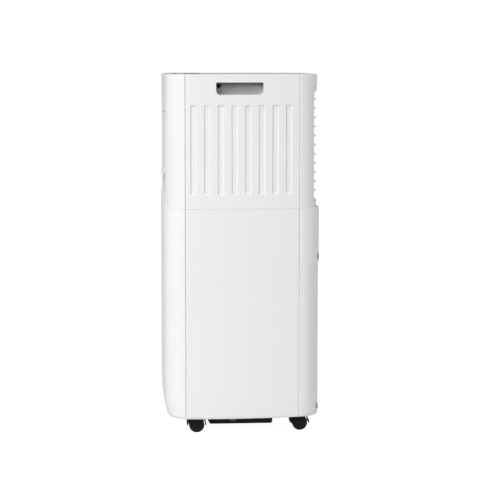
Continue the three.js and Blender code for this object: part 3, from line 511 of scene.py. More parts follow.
# %% [markdown]
# ## The plan outline of the casing
# Seen from above, each half of the casing is four arcs and a line: a very flat front, a tight
# front corner, a long shallow side, a tight back corner and a straight back. Walking along it by
# distance gives a place and an outward direction, and every shell is measured from that.

# %% Outline
SIDE_RADIUS, SIDE_CENTRE = 1000.0, np.array([-830.0, -45.0])
FRONT_RADIUS, FRONT_CORNER, BACK_CORNER = 3000.0, 48.0, 46.0


def outline(front_y, back_y):
    """Distance, x, y, nx and ny along the +X half, from the middle of the front to the back."""
    front = np.array([0.0, front_y + FRONT_RADIUS])
    to_side, to_front = SIDE_RADIUS - FRONT_CORNER, FRONT_RADIUS - FRONT_CORNER
    gap = np.linalg.norm(front - SIDE_CENTRE)
    along = (to_side**2 - to_front**2 + gap**2) / (2 * gap)
    off = math.sqrt(to_side**2 - along**2)
    unit = (front - SIDE_CENTRE) / gap
    turns = [SIDE_CENTRE + along * unit + s * off * np.array([-unit[1], unit[0]]) for s in (-1, 1)]
    corner = max(turns, key=lambda c: c[0])
    back_centre_y = back_y - BACK_CORNER
    run = math.sqrt((SIDE_RADIUS - BACK_CORNER) ** 2 - (back_centre_y - SIDE_CENTRE[1]) ** 2)
    back = np.array([SIDE_CENTRE[0] + run, back_centre_y])
    bearing = lambda a, b: math.atan2(b[1] - a[1], b[0] - a[0])
    front_end, side_start = bearing(front, corner), bearing(SIDE_CENTRE, corner)
    side_end = bearing(SIDE_CENTRE, back)
    arcs = [(front, FRONT_RADIUS, -np.pi / 2, front_end),
            (corner, FRONT_CORNER, front_end, side_start),
            (SIDE_CENTRE, SIDE_RADIUS, side_start, side_end),
            (back, BACK_CORNER, side_end, np.pi / 2)]
    rows = []
    for centre, radius, start, end in arcs:
        a = np.linspace(start, end, 200)[:, None]
        ray = np.hstack([np.cos(a), np.sin(a)])
        rows.append(np.hstack([centre + radius * ray, ray]))
    rows.append(np.array([[0, back_y, 0, 1]]))
    table = np.vstack(rows)
    step = np.hypot(*np.diff(table[:, :2], axis=0).T)
    return np.column_stack([np.concatenate([[0], np.cumsum(step)]), table])


LOWER, UPPER = outline(-153.5, 152.0), outline(-151.0, 148.6)


def walk(track, s):
    """x, y, nx and ny at a distance from the middle of the front; a negative one is at -X."""
    x, y, nx, ny = [np.interp(np.abs(s), track[:, 0], track[:, k]) for k in (1, 2, 3, 4)]
    side = np.sign(s)
    return x * side, y, nx * side, ny


def distance_at(track, y):
    """The distance along the outline where it reaches y, on the +X side."""
    rising = slice(0, len(track) - 1)
    return float(np.interp(y, track[rising, 2], track[rising, 0]))


SPLIT_Z, COLLAR_RISE, COLLAR_Y, COLLAR_FADE = 441.0, 20.0, (-151.0, -137.0), 30.0


def smooth(t):
    """The smooth step t^2 (3 - 2 t), with t kept between 0 and 1."""
    t = np.clip(t, 0, 1)
    return t * t * (3 - 2 * t)


def collar(y, z):
    """How far the front seam swells upwards: a smooth step in y, faded out above and below."""
    near = np.clip(1 - np.abs(z - SPLIT_Z) / COLLAR_FADE, 0, 1)
    return COLLAR_RISE * (1 - smooth((y - COLLAR_Y[0]) / (COLLAR_Y[1] - COLLAR_Y[0]))) * near


def upright(x, ny, z):
    """The inset of a casing that leans nowhere."""
    return 0.0


def casing(track, lean=upright, from_back=False):
    """point(u, z, depth): u along the outline, z up, depth in from the outer face.

    lean(x, ny, z) insets the face further; from_back counts u from the middle of the back.
    """
    turn = track[-1, 0]

    def point(u, z, depth):
        s = np.where(u >= 0, turn - u, -(turn + u)) if from_back else u
        x, y, nx, ny = walk(track, s)
        if from_back:
            x, nx = np.abs(x) * np.sign(u), np.abs(nx) * np.sign(u)
        inset = depth + lean(x, ny, z)
        y_in = y - ny * inset
        return np.stack([x - nx * inset, y_in, z + collar(y_in, z)], -1)

    return point


print("half outline:", round(LOWER[-1, 0], 1), "mm below,", round(UPPER[-1, 0], 1), "mm above")

# %% [markdown]
# ## A wall with windows in it
# The shells, the grille frame and the control plate are all the same thing: a sheet of an even
# thickness over a grid, with rounded outer edges and some rounded windows. The grid has a
# block left out round each window, and rings of points lead from the block to the window.


# %% Walls
CROWDED = 0.3


def marks(low, high, step, *places):
    """Grid lines from low to high about a step apart, and at each of the extra places.

    An even line within CROWDED steps of an extra place gives way to it.
    """
    base = np.linspace(low, high, max(2, int(round((high - low) / step)) + 1))
    extra = np.concatenate([np.atleast_1d(p) for p in places]) if places else np.array([])
    extra = np.unique(np.round(extra[(extra > low) & (extra < high)], 4))
    near = np.array([(np.abs(extra - b) < step * CROWDED).any() for b in base])
    near[[0, -1]] = False
    return np.unique(np.concatenate([base[~near], extra]))


def rim_marks(low, high, radius):
    """The places where a rounded outer edge needs grid lines."""
    steps = radius * np.array([0.08, 0.3, 0.62, 1.0, 1.6])
    return np.concatenate([low + steps, high - steps])


def edged(span, step, radius, *places):
    """Grid lines over a span that has a rounded outer edge at both ends."""
    return marks(*span, step, rim_marks(*span, radius), *places)


def opening(u, v, radii, margin=0.0, lip=0.5):
    """A window: its spans, four corner radii, the margin round it and the radius of its lip."""
    return {"u": u, "v": v, "radii": radii, "margin": margin, "lip": lip}


def round_opening(u, v, radius, margin, lip):
    """A round window about a middle."""
    return opening((u - radius, u + radius), (v - radius, v + radius), (radius,) * 4, margin, lip)


def window_marks(windows, axis):
    """The grid lines that bound the blocks round some windows."""
    return [c for w in windows for c in (w[axis][0] - w["margin"], w[axis][1] + w["margin"])]


def edge_drop(u, v, u_span, v_span, radii):
    """How far a rounded outer edge falls away: the arc r - sqrt(r^2 - q^2) over the last r.

    The edges at the ends of u and of v have radii of their own, and the larger fall counts.
    """
    falls = []
    for at, (low, high), r in ((u, u_span, radii[0]), (v, v_span, radii[1])):
        q = np.clip(r - np.minimum(at - low, high - at), 0, r)
        falls.append(r - np.sqrt(r**2 - q**2))
    return np.maximum(*falls)


def slot_edge(at, window):
    """The nearest point on a rounded rectangle, and the way out from it, for points outside."""
    (u0, u1), (v0, v1) = window["u"], window["v"]
    nearest = np.stack([np.clip(at[:, 0], u0, u1), np.clip(at[:, 1], v0, v1)], -1)
    way = at - nearest
    signs = [(-1, -1), (1, -1), (1, 1), (-1, 1)]
    for (su, sv), r in zip(signs, window["radii"]):
        centre = np.array([u0 + r if su < 0 else u1 - r, v0 + r if sv < 0 else v1 - r])
        off = at - centre
        here = (off[:, 0] * su > 0) & (off[:, 1] * sv > 0)
        ray = off / np.maximum(np.linalg.norm(off, axis=1, keepdims=True), 1e-9)
        nearest[here] = (centre + ray * r)[here]
        way[here] = ray[here]
    return nearest, way / np.maximum(np.linalg.norm(way, axis=1, keepdims=True), 1e-9)


def wall(point, u, v, thickness, edge, relief_mm=None, windows=()):
    """A closed sheet over the grid u, v, from its outer face to a thickness in.

    The outer edges fall away over `edge`, which is one radius, or one for the ends of u and one
    for the ends of v. relief_mm(u, v) sinks the face.
    """
    spans = (u[0], u[-1]), (v[0], v[-1])

    def drop(a, b):
        fall = edge_drop(a, b, *spans, np.broadcast_to(edge, 2)) if edge else 0 * a
        return fall + (relief_mm(a, b) if relief_mm else 0)

    U, V = np.meshgrid(u, v, indexing="ij")
    outer, inner = point(U, V, drop(U, V)), point(U, V, thickness + 0 * U)
    keep = np.ones((len(u) - 1, len(v) - 1), bool)
    parts = []
    for window in windows:
        i0, i1 = [int(np.abs(u - p).argmin()) for p in window_marks([window], "u")]
        j0, j1 = [int(np.abs(v - p).argmin()) for p in window_marks([window], "v")]
        keep[i0:i1, j0:j1] = False
        i, j = np.arange(i0, i1), np.arange(j0, j1)
        ring = np.concatenate([
            np.stack([u[i], v[j0] + 0 * i], -1), np.stack([u[i1] + 0 * j, v[j]], -1),
            np.stack([u[i[::-1] + 1], v[j1] + 0 * i], -1), np.stack([u[i0] + 0 * j, v[j[::-1] + 1]], -1),
        ])
        brink, way = slot_edge(ring, window)
        lip = window["lip"]
        beside = brink + way * (lip + min(0.5, 0.3 * window["margin"]))
        rows = [point(*at.T, drop(*at.T)) for at in (ring, beside)]
        for a in np.linspace(0, np.pi / 2, 4):
            at = brink + way * lip * (1 - math.sin(a))
            rows.append(point(*at.T, drop(*at.T) + lip * (1 - math.cos(a))))
        rows += [point(*at.T, thickness + 0 * at[:, 0]) for at in (brink, ring)]
        parts.append(grid(np.stack(rows), wrap=True))
    for sheet in (outer, inner):
        points, faces = grid(sheet)
        parts.append((points, faces[keep.ravel()]))
    for side in (np.s_[0], np.s_[-1], np.s_[:, 0], np.s_[:, -1]):
        parts.append(grid(np.stack([outer[side], inner[side]])))
    return joined(*parts)


# %% [markdown]
# ## Lower casing
# Four tall mouldings meet at upright seams: a wrap-round front, a wrap-round back and two side
# panels. The front leans in towards the floor like the toe of a shoe, and the lower rim is
# rolled under. A thin tongue behind each seam keeps the gap dark and closed.

# %% Lower casing pieces
RIM_Z, GAP, SEAM_Y = 30.4, 0.3, 111.0
LOWER_WALL, UPPER_WALL = 3.0, 4.0
TOE_TOP, TOE_INSET = 80.0, 6.5
RIM_RADIUS, SIDE_RIM = 6.0, 0.35
BAND_Z, BAND_DEPTH, BAND_EASE = 330.0, 1.5, 2.0
TONGUE_HALF, TONGUE_WALL, TONGUE_GAP = 6, 2.0, 0.1
SEAM_EDGE, LEVEL_GAP = (1.1, 0.25), 0.12
SIDES = (("right", 1), ("left", -1))


def toe(x, ny, z):
    """Inset of the lower casing: a parabola in height at the front, then the rolled rim."""
    facing = np.clip(-ny, 0, None) ** 1.5
    lean = TOE_INSET * np.clip((TOE_TOP - z) / (TOE_TOP - RIM_Z), 0, None) ** 2
    rise = np.clip(RIM_Z + RIM_RADIUS - z, 0, RIM_RADIUS)
    rim = RIM_RADIUS - np.sqrt(RIM_RADIUS**2 - rise**2)
    return facing * lean + rim * (SIDE_RIM + (1 - SIDE_RIM) * facing)


def toe_and_band(x, ny, z):
    """The toe, and above BAND_Z a step outwards across the back, eased over BAND_EASE."""
    across = np.clip(ny, 0, None) ** 2
    return toe(x, ny, z) - BAND_DEPTH * across * smooth((z - BAND_Z) / BAND_EASE)


def spans(track):
    """The distances that the front, a side and the back cover, with a gap at each seam."""
    front = distance_at(track, -SEAM_Y - GAP)
    back = track[-1, 0] - distance_at(track, SEAM_Y + GAP)
    side = distance_at(track, -SEAM_Y + GAP), distance_at(track, SEAM_Y - GAP)
    return (-front, front), side, (-back, back)


def tongue(track, lean, y, z_span, thickness):
    """The strip behind a seam at y, inside a wall of a thickness, on both sides of the casing."""
    shape, depth = casing(track, lean), thickness + TONGUE_GAP
    u = marks(distance_at(track, y - TONGUE_HALF), distance_at(track, y + TONGUE_HALF), 3.0)
    strips = [wall(lambda a, b, d: shape(sign * a, b, d + depth), u, marks(*z_span, 40.0), TONGUE_WALL, 0)
              for _, sign in SIDES]
    return joined(*strips)


def shell(name, surface, replaced):
    """A white moulding of the cabinet."""
    build(name, surface, "white_casing", "cabinet", [replaced])


def side_covers(level, track, lean, u, z, thickness, *more):
    """The same panel on both sides of the casing."""
    shape = casing(track, lean)
    for side, sign in SIDES:
        panel = wall(lambda a, b, d: shape(sign * a, b, d), u, z, thickness, SEAM_EDGE, *more)
        shell(f"{level}_side_cover_{side}", panel, f"{level}_side_panel_{side}")


lower_rise, tongue_rise = (RIM_Z, SPLIT_Z - LEVEL_GAP), (RIM_Z + 4, SPLIT_Z - 2)
front_span, side_span, back_span = spans(LOWER)
rim_steps = RIM_Z + RIM_RADIUS * (1 - np.cos(np.linspace(0, np.pi / 2, 8)))
u = edged(front_span, 6.0, SEAM_EDGE[0])
z = edged(lower_rise, 25.0, SEAM_EDGE[1], rim_steps, np.linspace(38, 80, 8))
front = wall(casing(LOWER, toe), u, z, LOWER_WALL, SEAM_EDGE)
behind = tongue(LOWER, toe, -SEAM_Y, tongue_rise, LOWER_WALL)
shell("lower_front_casing", joined(front, behind), "lower_front_shell")

DRAIN_X, UPPER_DRAIN_Z, LOWER_DRAIN_Z = 126.0, 345.0, 47.5
INLET_X, INLET_Z = -105.0, 70.0


def back_distance(track, x):
    """The distance along the back, from its middle, where the outline reaches a given x."""
    tail = track[track[:, 2] > 100]
    s = float(np.interp(-abs(x), -tail[:, 1], tail[:, 0]))
    return math.copysign(track[-1, 0] - s, x)


PORT_STEPS, PORT_MARGIN, PORT_LIP = np.linspace(-5, 19.4, 9), 5.0, 0.6
ports = [round_opening(back_distance(LOWER, x), z, radius, PORT_MARGIN, PORT_LIP)
         for x, z, radius in ((DRAIN_X, UPPER_DRAIN_Z, 7.2), (DRAIN_X, LOWER_DRAIN_Z, 7.2),
                              (INLET_X, INLET_Z, 6.9))]
u = edged(back_span, 6.0, SEAM_EDGE[0], window_marks(ports, "u"), *[p["u"][0] + PORT_STEPS for p in ports])
z = edged(lower_rise, 25.0, SEAM_EDGE[1], window_marks(ports, "v"), *[p["v"][0] + PORT_STEPS for p in ports],
          rim_steps, np.linspace(BAND_Z - 0.5, BAND_Z + 2.5, 7))
back = wall(casing(LOWER, toe_and_band, from_back=True), u, z, LOWER_WALL, SEAM_EDGE, windows=ports)
behind = tongue(LOWER, toe, SEAM_Y, tongue_rise, LOWER_WALL)
shell("lower_back_casing", joined(back, behind), "lower_back_shell")

u = edged(side_span, 8.0, SEAM_EDGE[0])
z = edged(lower_rise, 40.0, SEAM_EDGE[1], rim_steps)
side_covers("lower", LOWER, toe, u, z, LOWER_WALL)

# %% [markdown]
# ## Upper side panels
# Each panel has eight upright flutes with sloping walls, and a hand slot near the top with
# tight corners above and wide ones below. The flutes are a depth that depends on the distance
# inside a rounded rectangle, so one formula gives the walls, the corners and the floor.

# %% Flutes and hand slot
FLUTE_COUNT, FLUTE_START, FLUTE_PITCH, FLUTE_WIDTH = 8, -101.5, 26.4, 12.0
FLUTE_DEPTH, FLUTE_SLOPE, FLUTE_CORNER, STEEPER = 2.0, 2.2, 2.0, 2.2
FLUTE_Z = (469.0, 641.0)
GRIP_Y, GRIP_Z, GRIP_LOW_R, GRIP_HIGH_R = (-51.5, 39.8), (660.0, 684.0), 8.5, 2.0

flute_y = [FLUTE_START + k * FLUTE_PITCH for k in range(FLUTE_COUNT)]
flute_u = [(distance_at(UPPER, y), distance_at(UPPER, y + FLUTE_WIDTH)) for y in flute_y]


def flutes(u, z):
    """Depth of the flutes: a smooth step over FLUTE_SLOPE of the distance inside the nearest.

    The rear and lower walls are steeper, so distance counts STEEPER times as much there.
    """
    depth = np.zeros(np.broadcast(u, z).shape)
    for low, high in flute_u:
        a = FLUTE_CORNER - np.minimum(u - low, (high - u) * STEEPER)
        b = FLUTE_CORNER - np.minimum((z - FLUTE_Z[0]) * STEEPER, FLUTE_Z[1] - z)
        corner = np.hypot(np.clip(a, 0, None), np.clip(b, 0, None))
        inside = FLUTE_CORNER - corner - np.minimum(np.maximum(a, b), 0)
        depth = np.maximum(depth, FLUTE_DEPTH * smooth(inside / FLUTE_SLOPE))
    return depth


upper_rise, tongue_rise = (SPLIT_Z + LEVEL_GAP, 700.0), (SPLIT_Z + 4, 694)
front_span, side_span, back_span = spans(UPPER)
grip_u = tuple(distance_at(UPPER, y) for y in GRIP_Y)
hand_slot = [opening(grip_u, GRIP_Z, (GRIP_LOW_R, GRIP_LOW_R, GRIP_HIGH_R, GRIP_HIGH_R), 8.0)]
wall_steps = np.array([-0.4, 0.0, 0.3, 0.7, 1.1, 1.5, 1.9, 2.3, 2.8])
flute_lines = [np.concatenate([low + wall_steps, high - wall_steps]) for low, high in flute_u]
u = edged(side_span, 6.0, SEAM_EDGE[0], *flute_lines, window_marks(hand_slot, "u"))
z = edged(upper_rise, 14.0, SEAM_EDGE[1], FLUTE_Z[0] + wall_steps, FLUTE_Z[1] - wall_steps,
          window_marks(hand_slot, "v"), np.linspace(654, 690, 10))
side_covers("upper", UPPER, upright, u, z, UPPER_WALL, flutes, hand_slot)

# %% [markdown]
# ## Upper front and back
# The upper front has the air outlet: a wide window with a finger scoop under it that sinks into
# the face. The upper back is mostly open, because the whole intake grille sits in it. Both are
# the same wall function with one big window.

# %% Upper front casing
FLAP_HALF, FLAP_Z = 128.5, (508.0, 625.6)
SCOOP_Z, SCOOP_DEPTH, SCOOP_HALF, SCOOP_BRINK = 480.0, 9.0, 118.0, 1.5


def scoop(x, ny, z):
    """Inset below the flap: deepest at the window, none at SCOOP_HALF or at SCOOP_Z."""
    across = np.clip(1 - (x / SCOOP_HALF) ** 4, 0, None)
    deep = np.clip((z - SCOOP_Z) / (FLAP_Z[0] - SCOOP_Z), 0, 1) ** 0.7
    fade = np.clip(1 - (z - FLAP_Z[0]) / SCOOP_BRINK, 0, 1)
    return SCOOP_DEPTH * across * deep * fade


outlet = [opening((-129.6, 129.6), (507.4, 627.4), (2.0,) * 4, 3.0)]
u = edged(front_span, 6.0, SEAM_EDGE[0], window_marks(outlet, "u"))
z = edged(upper_rise, 12.0, SEAM_EDGE[1], window_marks(outlet, "v"), np.linspace(478, 504, 14))
front = wall(casing(UPPER, scoop), u, z, UPPER_WALL, SEAM_EDGE, windows=outlet)
behind = tongue(UPPER, upright, -SEAM_Y, tongue_rise, UPPER_WALL)
shell("upper_front_casing", joined(front, behind), "upper_front_shell")

# %% Upper back casing
GRILLE_Z, GRILLE_FRAME_Y, GRILLE_OPEN_Y = (445.0, 674.0), 134.6, 142.0
frame_reach = UPPER[-1, 0] - distance_at(UPPER, GRILLE_FRAME_Y - GAP)
intake = [opening((-frame_reach, frame_reach), (GRILLE_Z[0] - 0.4, GRILLE_Z[1] + 0.4),
                  (4.0, 4.0, 10.4, 10.4), 2.4, 0.4)]
corner_lines = np.linspace(frame_reach - 12, frame_reach + 2, 14)
u = edged(back_span, 6.0, SEAM_EDGE[0], window_marks(intake, "u"), corner_lines, -corner_lines)
z = edged(upper_rise, 12.0, SEAM_EDGE[1], window_marks(intake, "v"), np.linspace(662, 676, 14))
back = wall(casing(UPPER, from_back=True), u, z, UPPER_WALL, SEAM_EDGE, windows=intake)
behind = tongue(UPPER, upright, SEAM_Y, tongue_rise, UPPER_WALL)
shell("upper_back_casing", joined(back, behind), "upper_back_shell")

# %% [markdown]
# ## Hand grips
# Behind each slot is a grey pocket for four fingers. Its floor slopes up as it goes in, and its
# roof steps up for the fingertips. It is a row of rounded rectangles, each a little deeper than
# the last, which ends on the pocket's flat end wall; the same row, grown by the wall thickness,
# leads back out. A screw in a small boss holds it near the front end.

# %% Grip pockets
CUP_WALL = 2.0
BOSS = (-45.0, 677.0)
CUP_TAPER_X, CUP_TAPER, CUP_END_X = 150, 0.10, 142


def slot_ring(y_span, z_span, low, high):
    """A rounded rectangle of (y, z) points with its own radius below and above."""
    (y0, y1), (z0, z1) = y_span, z_span
    corners = [(y0 + low, z0 + low, low, 180), (y1 - low, z0 + low, low, 270),
               (y1 - high, z1 - high, high, 0), (y0 + high, z1 - high, high, 90)]
    turn = np.linspace(0, np.pi / 2, 6)
    rings = [np.stack([y + r * np.cos(math.radians(a) + turn), z + r * np.sin(math.radians(a) + turn)], -1)
             for y, z, r, a in corners]
    straight = np.linspace(0, 1, 8)[1:-1, None]
    loops = [np.concatenate([ring, ring[-1] * (1 - straight) + following[0] * straight])
             for ring, following in zip(rings, rings[1:] + rings[:1])]
    return np.concatenate(loops)


def pocket(grow):
    """Rings of the pocket from its mouth to its end wall, grown outwards by a distance."""
    depth = np.array([[165.4, 0, 0], [158.5, 0.9, 0], [156.6, 1.2, 2.2], [153.0, 1.8, 3.5], [147.0, 4.2, 3.6],
                      [142.6, 6.8, 3.6], [140.0, 9.6, 2.8], [138.6, 12.0, 1.4]])
    rings = []
    for x, floor, roof in depth:
        side = max(0.0, (CUP_TAPER_X - x) * CUP_TAPER)
        span_y = (GRIP_Y[0] + side - grow, GRIP_Y[1] - side + grow)
        span_z = (GRIP_Z[0] + floor - grow, GRIP_Z[1] + roof + grow)
        ring = slot_ring(span_y, span_z, GRIP_LOW_R - floor * 0.2 + grow, GRIP_HIGH_R + grow)
        deep = x - grow if x < CUP_END_X else x
        rings.append(np.column_stack([np.full(len(ring), deep), ring]))
    last = np.repeat(rings[-1].mean(axis=0, keepdims=True), len(rings[-1]), axis=0)
    return rings + [last]


inner, outer = pocket(0.0), pocket(CUP_WALL)
cup = grid(np.stack([*inner[::-1], *outer]), wrap=True)
boss = turned("x", [(0, 136.0), (6.2, 136.0), (6.0, 143.2), (4.6, 143.2), (4.5, 141.0), (0, 141.0)],
              BOSS, 0.3, 32)
screw = turned("x", [(0, 138.5), (2.2, 138.5), (3.6, 141.6), (3.6, 142.4), (3.0, 142.9), (2.1, 143.0),
                     (1.6, 141.4), (0, 141.2)], BOSS, 0.15, 24)
for side, sign in SIDES:
    mirror = np.array([sign, 1, 1])
    build(f"hand_grip_{side}", joined((cup[0] * mirror, cup[1]), (boss[0] * mirror, boss[1])),
          "grey_grip_painted_shade", "cabinet", [f"grip_cup_{side}"])
    build(f"hand_grip_screw_{side}", (screw[0] * mirror, screw[1]), "black_chassis", "cabinet",
          [f"grip_screw_{side}"])

# %% [markdown]
# ## Top cover and controls
# The cover is one flat grey moulding that drops inside the rim of the casing. A pocket near the
# front edge holds a black glossy control plate with six round buttons and a display window.

# %% Top cover
TOP_Z, COVER_INSET, COVER_WALL = 699.6, 4.4, 4.0
PANEL_Y, PANEL_HALF, LEDGE, POCKET_DEPTH = (-130.0, -76.0), 80.0, 4, 2.2
s = np.linspace(-UPPER[-1, 0], UPPER[-1, 0], 241)[:-1]
x, y, nx, ny = walk(UPPER, s)
rim = np.stack([x - nx * COVER_INSET, y - ny * COVER_INSET], -1)
brink, way = slot_edge(rim, opening((-PANEL_HALF, PANEL_HALF), PANEL_Y, (3.0,) * 4))
ledge, _ = slot_edge(rim, opening((LEDGE - PANEL_HALF, PANEL_HALF - LEDGE),
                                  (PANEL_Y[0] + LEDGE, PANEL_Y[1] - LEDGE), (2.0,) * 4))
inset = lambda d: rim - np.stack([nx, ny], -1) * d
path = [(ledge, COVER_WALL), (rim, COVER_WALL), (rim, 0.8), (inset(0.24), 0.24), (inset(0.8), 0),
        (inset(1.4), 0), (brink + way * 0.9, 0), (brink + way * 0.4, 0), (brink + way * 0.12, 0.12),
        (brink, 0.4), (brink, POCKET_DEPTH), (ledge, POCKET_DEPTH), (ledge, COVER_WALL)]
rows = [np.column_stack([plan, np.full(len(plan), TOP_Z - sunk)]) for plan, sunk in path]
build("top_lid", grid(np.stack(rows), wrap=True), "pale_grey_top", "cabinet", ["top_cover"])

# %% Control plate
BUTTONS = ["power", "mode", "fan", "timer", "down", "up"]
BUTTON_Y, BUTTON_R, BUTTON_GAP, BUTTON_PITCH = -115.0, 6.6, 0.35, 25.0
button_x = {name: (k - 2.5) * BUTTON_PITCH for k, name in enumerate(BUTTONS)}
plate_windows = [round_opening(c, BUTTON_Y, BUTTON_R + BUTTON_GAP, 2.0, 0.3) for c in button_x.values()]
plate_windows.append(opening((-30, 30), (-98, -82), (1.5,) * 4, 2.0, 0.2))
flat = lambda u, v, d: np.stack([u, v, TOP_Z - d + 0 * u], -1)
span_u, span_v = (GAP - PANEL_HALF, PANEL_HALF - GAP), (PANEL_Y[0] + GAP, PANEL_Y[1] - GAP)
u = edged(span_u, 3.0, 0.3, window_marks(plate_windows, "u"))
v = edged(span_v, 2.0, 0.3, window_marks(plate_windows, "v"))
build("control_plate", wall(flat, u, v, 1.9, 0.3, windows=plate_windows), "dark_gloss", "cabinet",
      ["control_panel"])


# %% Button marks
def button_mark(name, bench, u, v):
    """1 on a button's mark, which is made of rings and bars about its middle."""
    def ring(radius, width):
        far = bench.node("ShaderNodeMath", {"operation": "SQRT"}, {0: u * u + v * v})
        return far.is_near(radius, width / 2)

    def bar(half_u, half_v, at=(0, 0)):
        return u.is_near(at[0], half_u) * v.is_near(at[1], half_v)

    return {
        "power": lambda: ring(2.6, 0.7) * (1 - bar(0.9, 1.4, (0, 2.6))) + bar(0.35, 1.6, (0, 2.2)),
        "mode": lambda: ring(2.6, 0.7) + ring(0.5, 1.0),
        "fan": lambda: bar(2.9, 0.4) + bar(0.4, 2.9) * (1 - bar(2.9, 0.4)),
        "timer": lambda: ring(2.8, 0.6) + bar(0.3, 0.9, (0, 0.9)) + bar(0.7, 0.3, (1.0, 0)),
        "down": lambda: bar(2.6, 0.4),
        "up": lambda: bar(2.6, 0.4) + bar(0.4, 1.1, (0, 1.5)) + bar(0.4, 1.1, (0, -1.5)),
    }[name]()


def button_paint(name, centre):
    """Grey plastic with a plain dark mark on the top face of a button."""
    bench, place, (x, y, z) = new_bench(f"button_{name}_paint")
    grain = bench.noise(place, 1600.0, 2.0)
    broad = bench.noise(place, 60.0, 2.0)
    base = bench.blend(broad, (0.30, 0.31, 0.32), (0.34, 0.35, 0.36))
    mark = button_mark(name, bench, x - centre, y - BUTTON_Y) * (z > 699.0)
    shade = bench.blend(mark, base, (0.03, 0.03, 0.035))
    keep_paint(f"button_{name}_paint", shade, grain * 0.06 + 0.42, relief(bench, grain, 0.006), specular=0.4)


for name, centre in button_x.items():
    button_paint(name, centre)
    r = BUTTON_R
    cap = [(0, 692.0), (3, 692.0), (3, 696.6), (r + 1.6, 696.6), (r + 1.6, 697.5), (r, 697.5), (r, 699.8),
           (r - 0.5, 700.0), (3.0, 699.75), (0, 699.7)]
    build(f"push_button_{name}", turned("z", cap, (centre, BUTTON_Y), 0.25, 48), f"button_{name}_paint",
          f"button_{name}", [f"button_{name}"])

# %% [markdown]
# ## Outlet flap
# The flap is a slice of the casing's own front, hung on two pins near its top edge. A rolled bead
# under its lower edge is the finger lip: it stands proud in the middle and sinks in at the ends.

# %% Flap
FLAP_HINGE = (-144.4, 619.0)
LIP_HALF = 112.0
skin = casing(UPPER)
u = edged((-FLAP_HALF, FLAP_HALF), 5.0, 0.5)
z = edged(FLAP_Z, 12.0, 0.5, np.linspace(622.6, 625.6, 7))


def flap_top(u, z):
    """The chamfer along the top edge: 2.0 mm over the last 2.6 mm, eased."""
    t = np.clip((z - 623.0) / 2.6, 0, 1)
    return 2.0 * t * t


sheet = wall(skin, u, z, 3.0, 0.5, flap_top)
section = rounded([(-1.5, 10.8), (1.6, 10.8), (2.7, 8), (3.0, 4.5), (2.2, 1.4), (1, 0), (0.5, 1.6),
                   (0.5, 9), (-1.5, 9)], 1.2, 2, closed=True)
x = np.linspace(-LIP_HALF, LIP_HALF, 61)
swell = np.clip((1 - (x / (LIP_HALF + 4)) ** 2), 0, 1) ** 0.4
swell = np.maximum(0.25, swell)[:, None]
face = np.interp(np.abs(x), UPPER[:200, 1], UPPER[:200, 2])[:, None]
out = section[None, :, 0]
reach = np.where(out > 0.5, (out - 0.5) * swell, out)
height = FLAP_Z[0] - 10.6 + section[None, :, 1] + 0 * reach
bead = np.stack([np.broadcast_to(x[:, None], reach.shape), face - reach, height], -1)
lip = drawn(bead)
pins = [turned("x", [(0, a), (1.5, a), (1.5, b), (0, b)], FLAP_HINGE, 0.3, 20)
        for a, b in ((-FLAP_HALF - 4, -FLAP_HALF + 9), (FLAP_HALF - 9, FLAP_HALF + 4))]
build("outlet_louvre_door", joined(sheet, lip, *pins), "white_casing", "outlet_flap",
      ["outlet_flap"])

# %% [markdown]
# ## Intake grille
# The grille is a frame that wraps the upper back, with twelve sloping slats between its posts.
# Each slat is a thin bar with rounded edges whose outer edge follows the curve of the casing.

# %% Grille
frame_edge = UPPER[-1, 0] - distance_at(UPPER, GRILLE_FRAME_Y)
open_edge = UPPER[-1, 0] - distance_at(UPPER, GRILLE_OPEN_Y)
mouth = [opening((-open_edge, open_edge), (GRILLE_Z[0] + 8, GRILLE_Z[1] - 8), (2.0, 2.0, 5.0, 5.0), 3.0, 0.6)]
u = edged((-frame_edge, frame_edge), 6.0, 0.8, window_marks(mouth, "u"))
z = edged(GRILLE_Z, 12.0, 0.8, window_marks(mouth, "v"))
back_face = casing(UPPER, from_back=True)
border = wall(lambda a, b, d: back_face(a, b, d + 0.8), u, z, 3.2, 0.8, windows=mouth)
SLAT_TOP_Z, SLAT_PITCH, SLAT_COUNT, SLAT_RISE, SLAT_REACH = 649.5, 17.75, 12, 0.55, 14
edge_s = np.linspace(-open_edge - 1.5, open_edge + 1.5, 81)
tip_x, tip_y, _ = back_face(edge_s, 0 * edge_s, 0.4).T
slat = rounded([(0, 0), (SLAT_REACH, 0), (SLAT_REACH, 1.8), (0, 1.8)], 0.85, 3, closed=True)
inner_y = np.minimum(132.0, tip_y - 6)
y = tip_y[:, None] - slat[None, :, 0] / SLAT_REACH * (tip_y - inner_y)[:, None]
z = slat[None, :, 1] + (tip_y[:, None] - y) * SLAT_RISE + SLAT_TOP_Z
across = np.broadcast_to(tip_x[:, None], y.shape)
bars = [drawn(np.stack([across, y, z - k * SLAT_PITCH], -1)) for k in range(SLAT_COUNT)]
post_z = (GRILLE_Z[0] + 2.0, GRILLE_Z[1] - 2.0)
posts = [block((x - 1, x + 1), (132, 137), post_z, 0.4, 2) for x in (-120.0, 0.0, 120.0)]
build("intake_louvres", joined(border, *bars, *posts), "white_casing", "rear_grille",
      ["intake_grille"])

# %% [markdown]
# ## Drain plugs, cord inlet and sump plug
# These are all turned parts: a profile of radius and height goes round an axis. The plugs have a
# small pull ring step, and the cord inlet is a bush with a rounded collar.

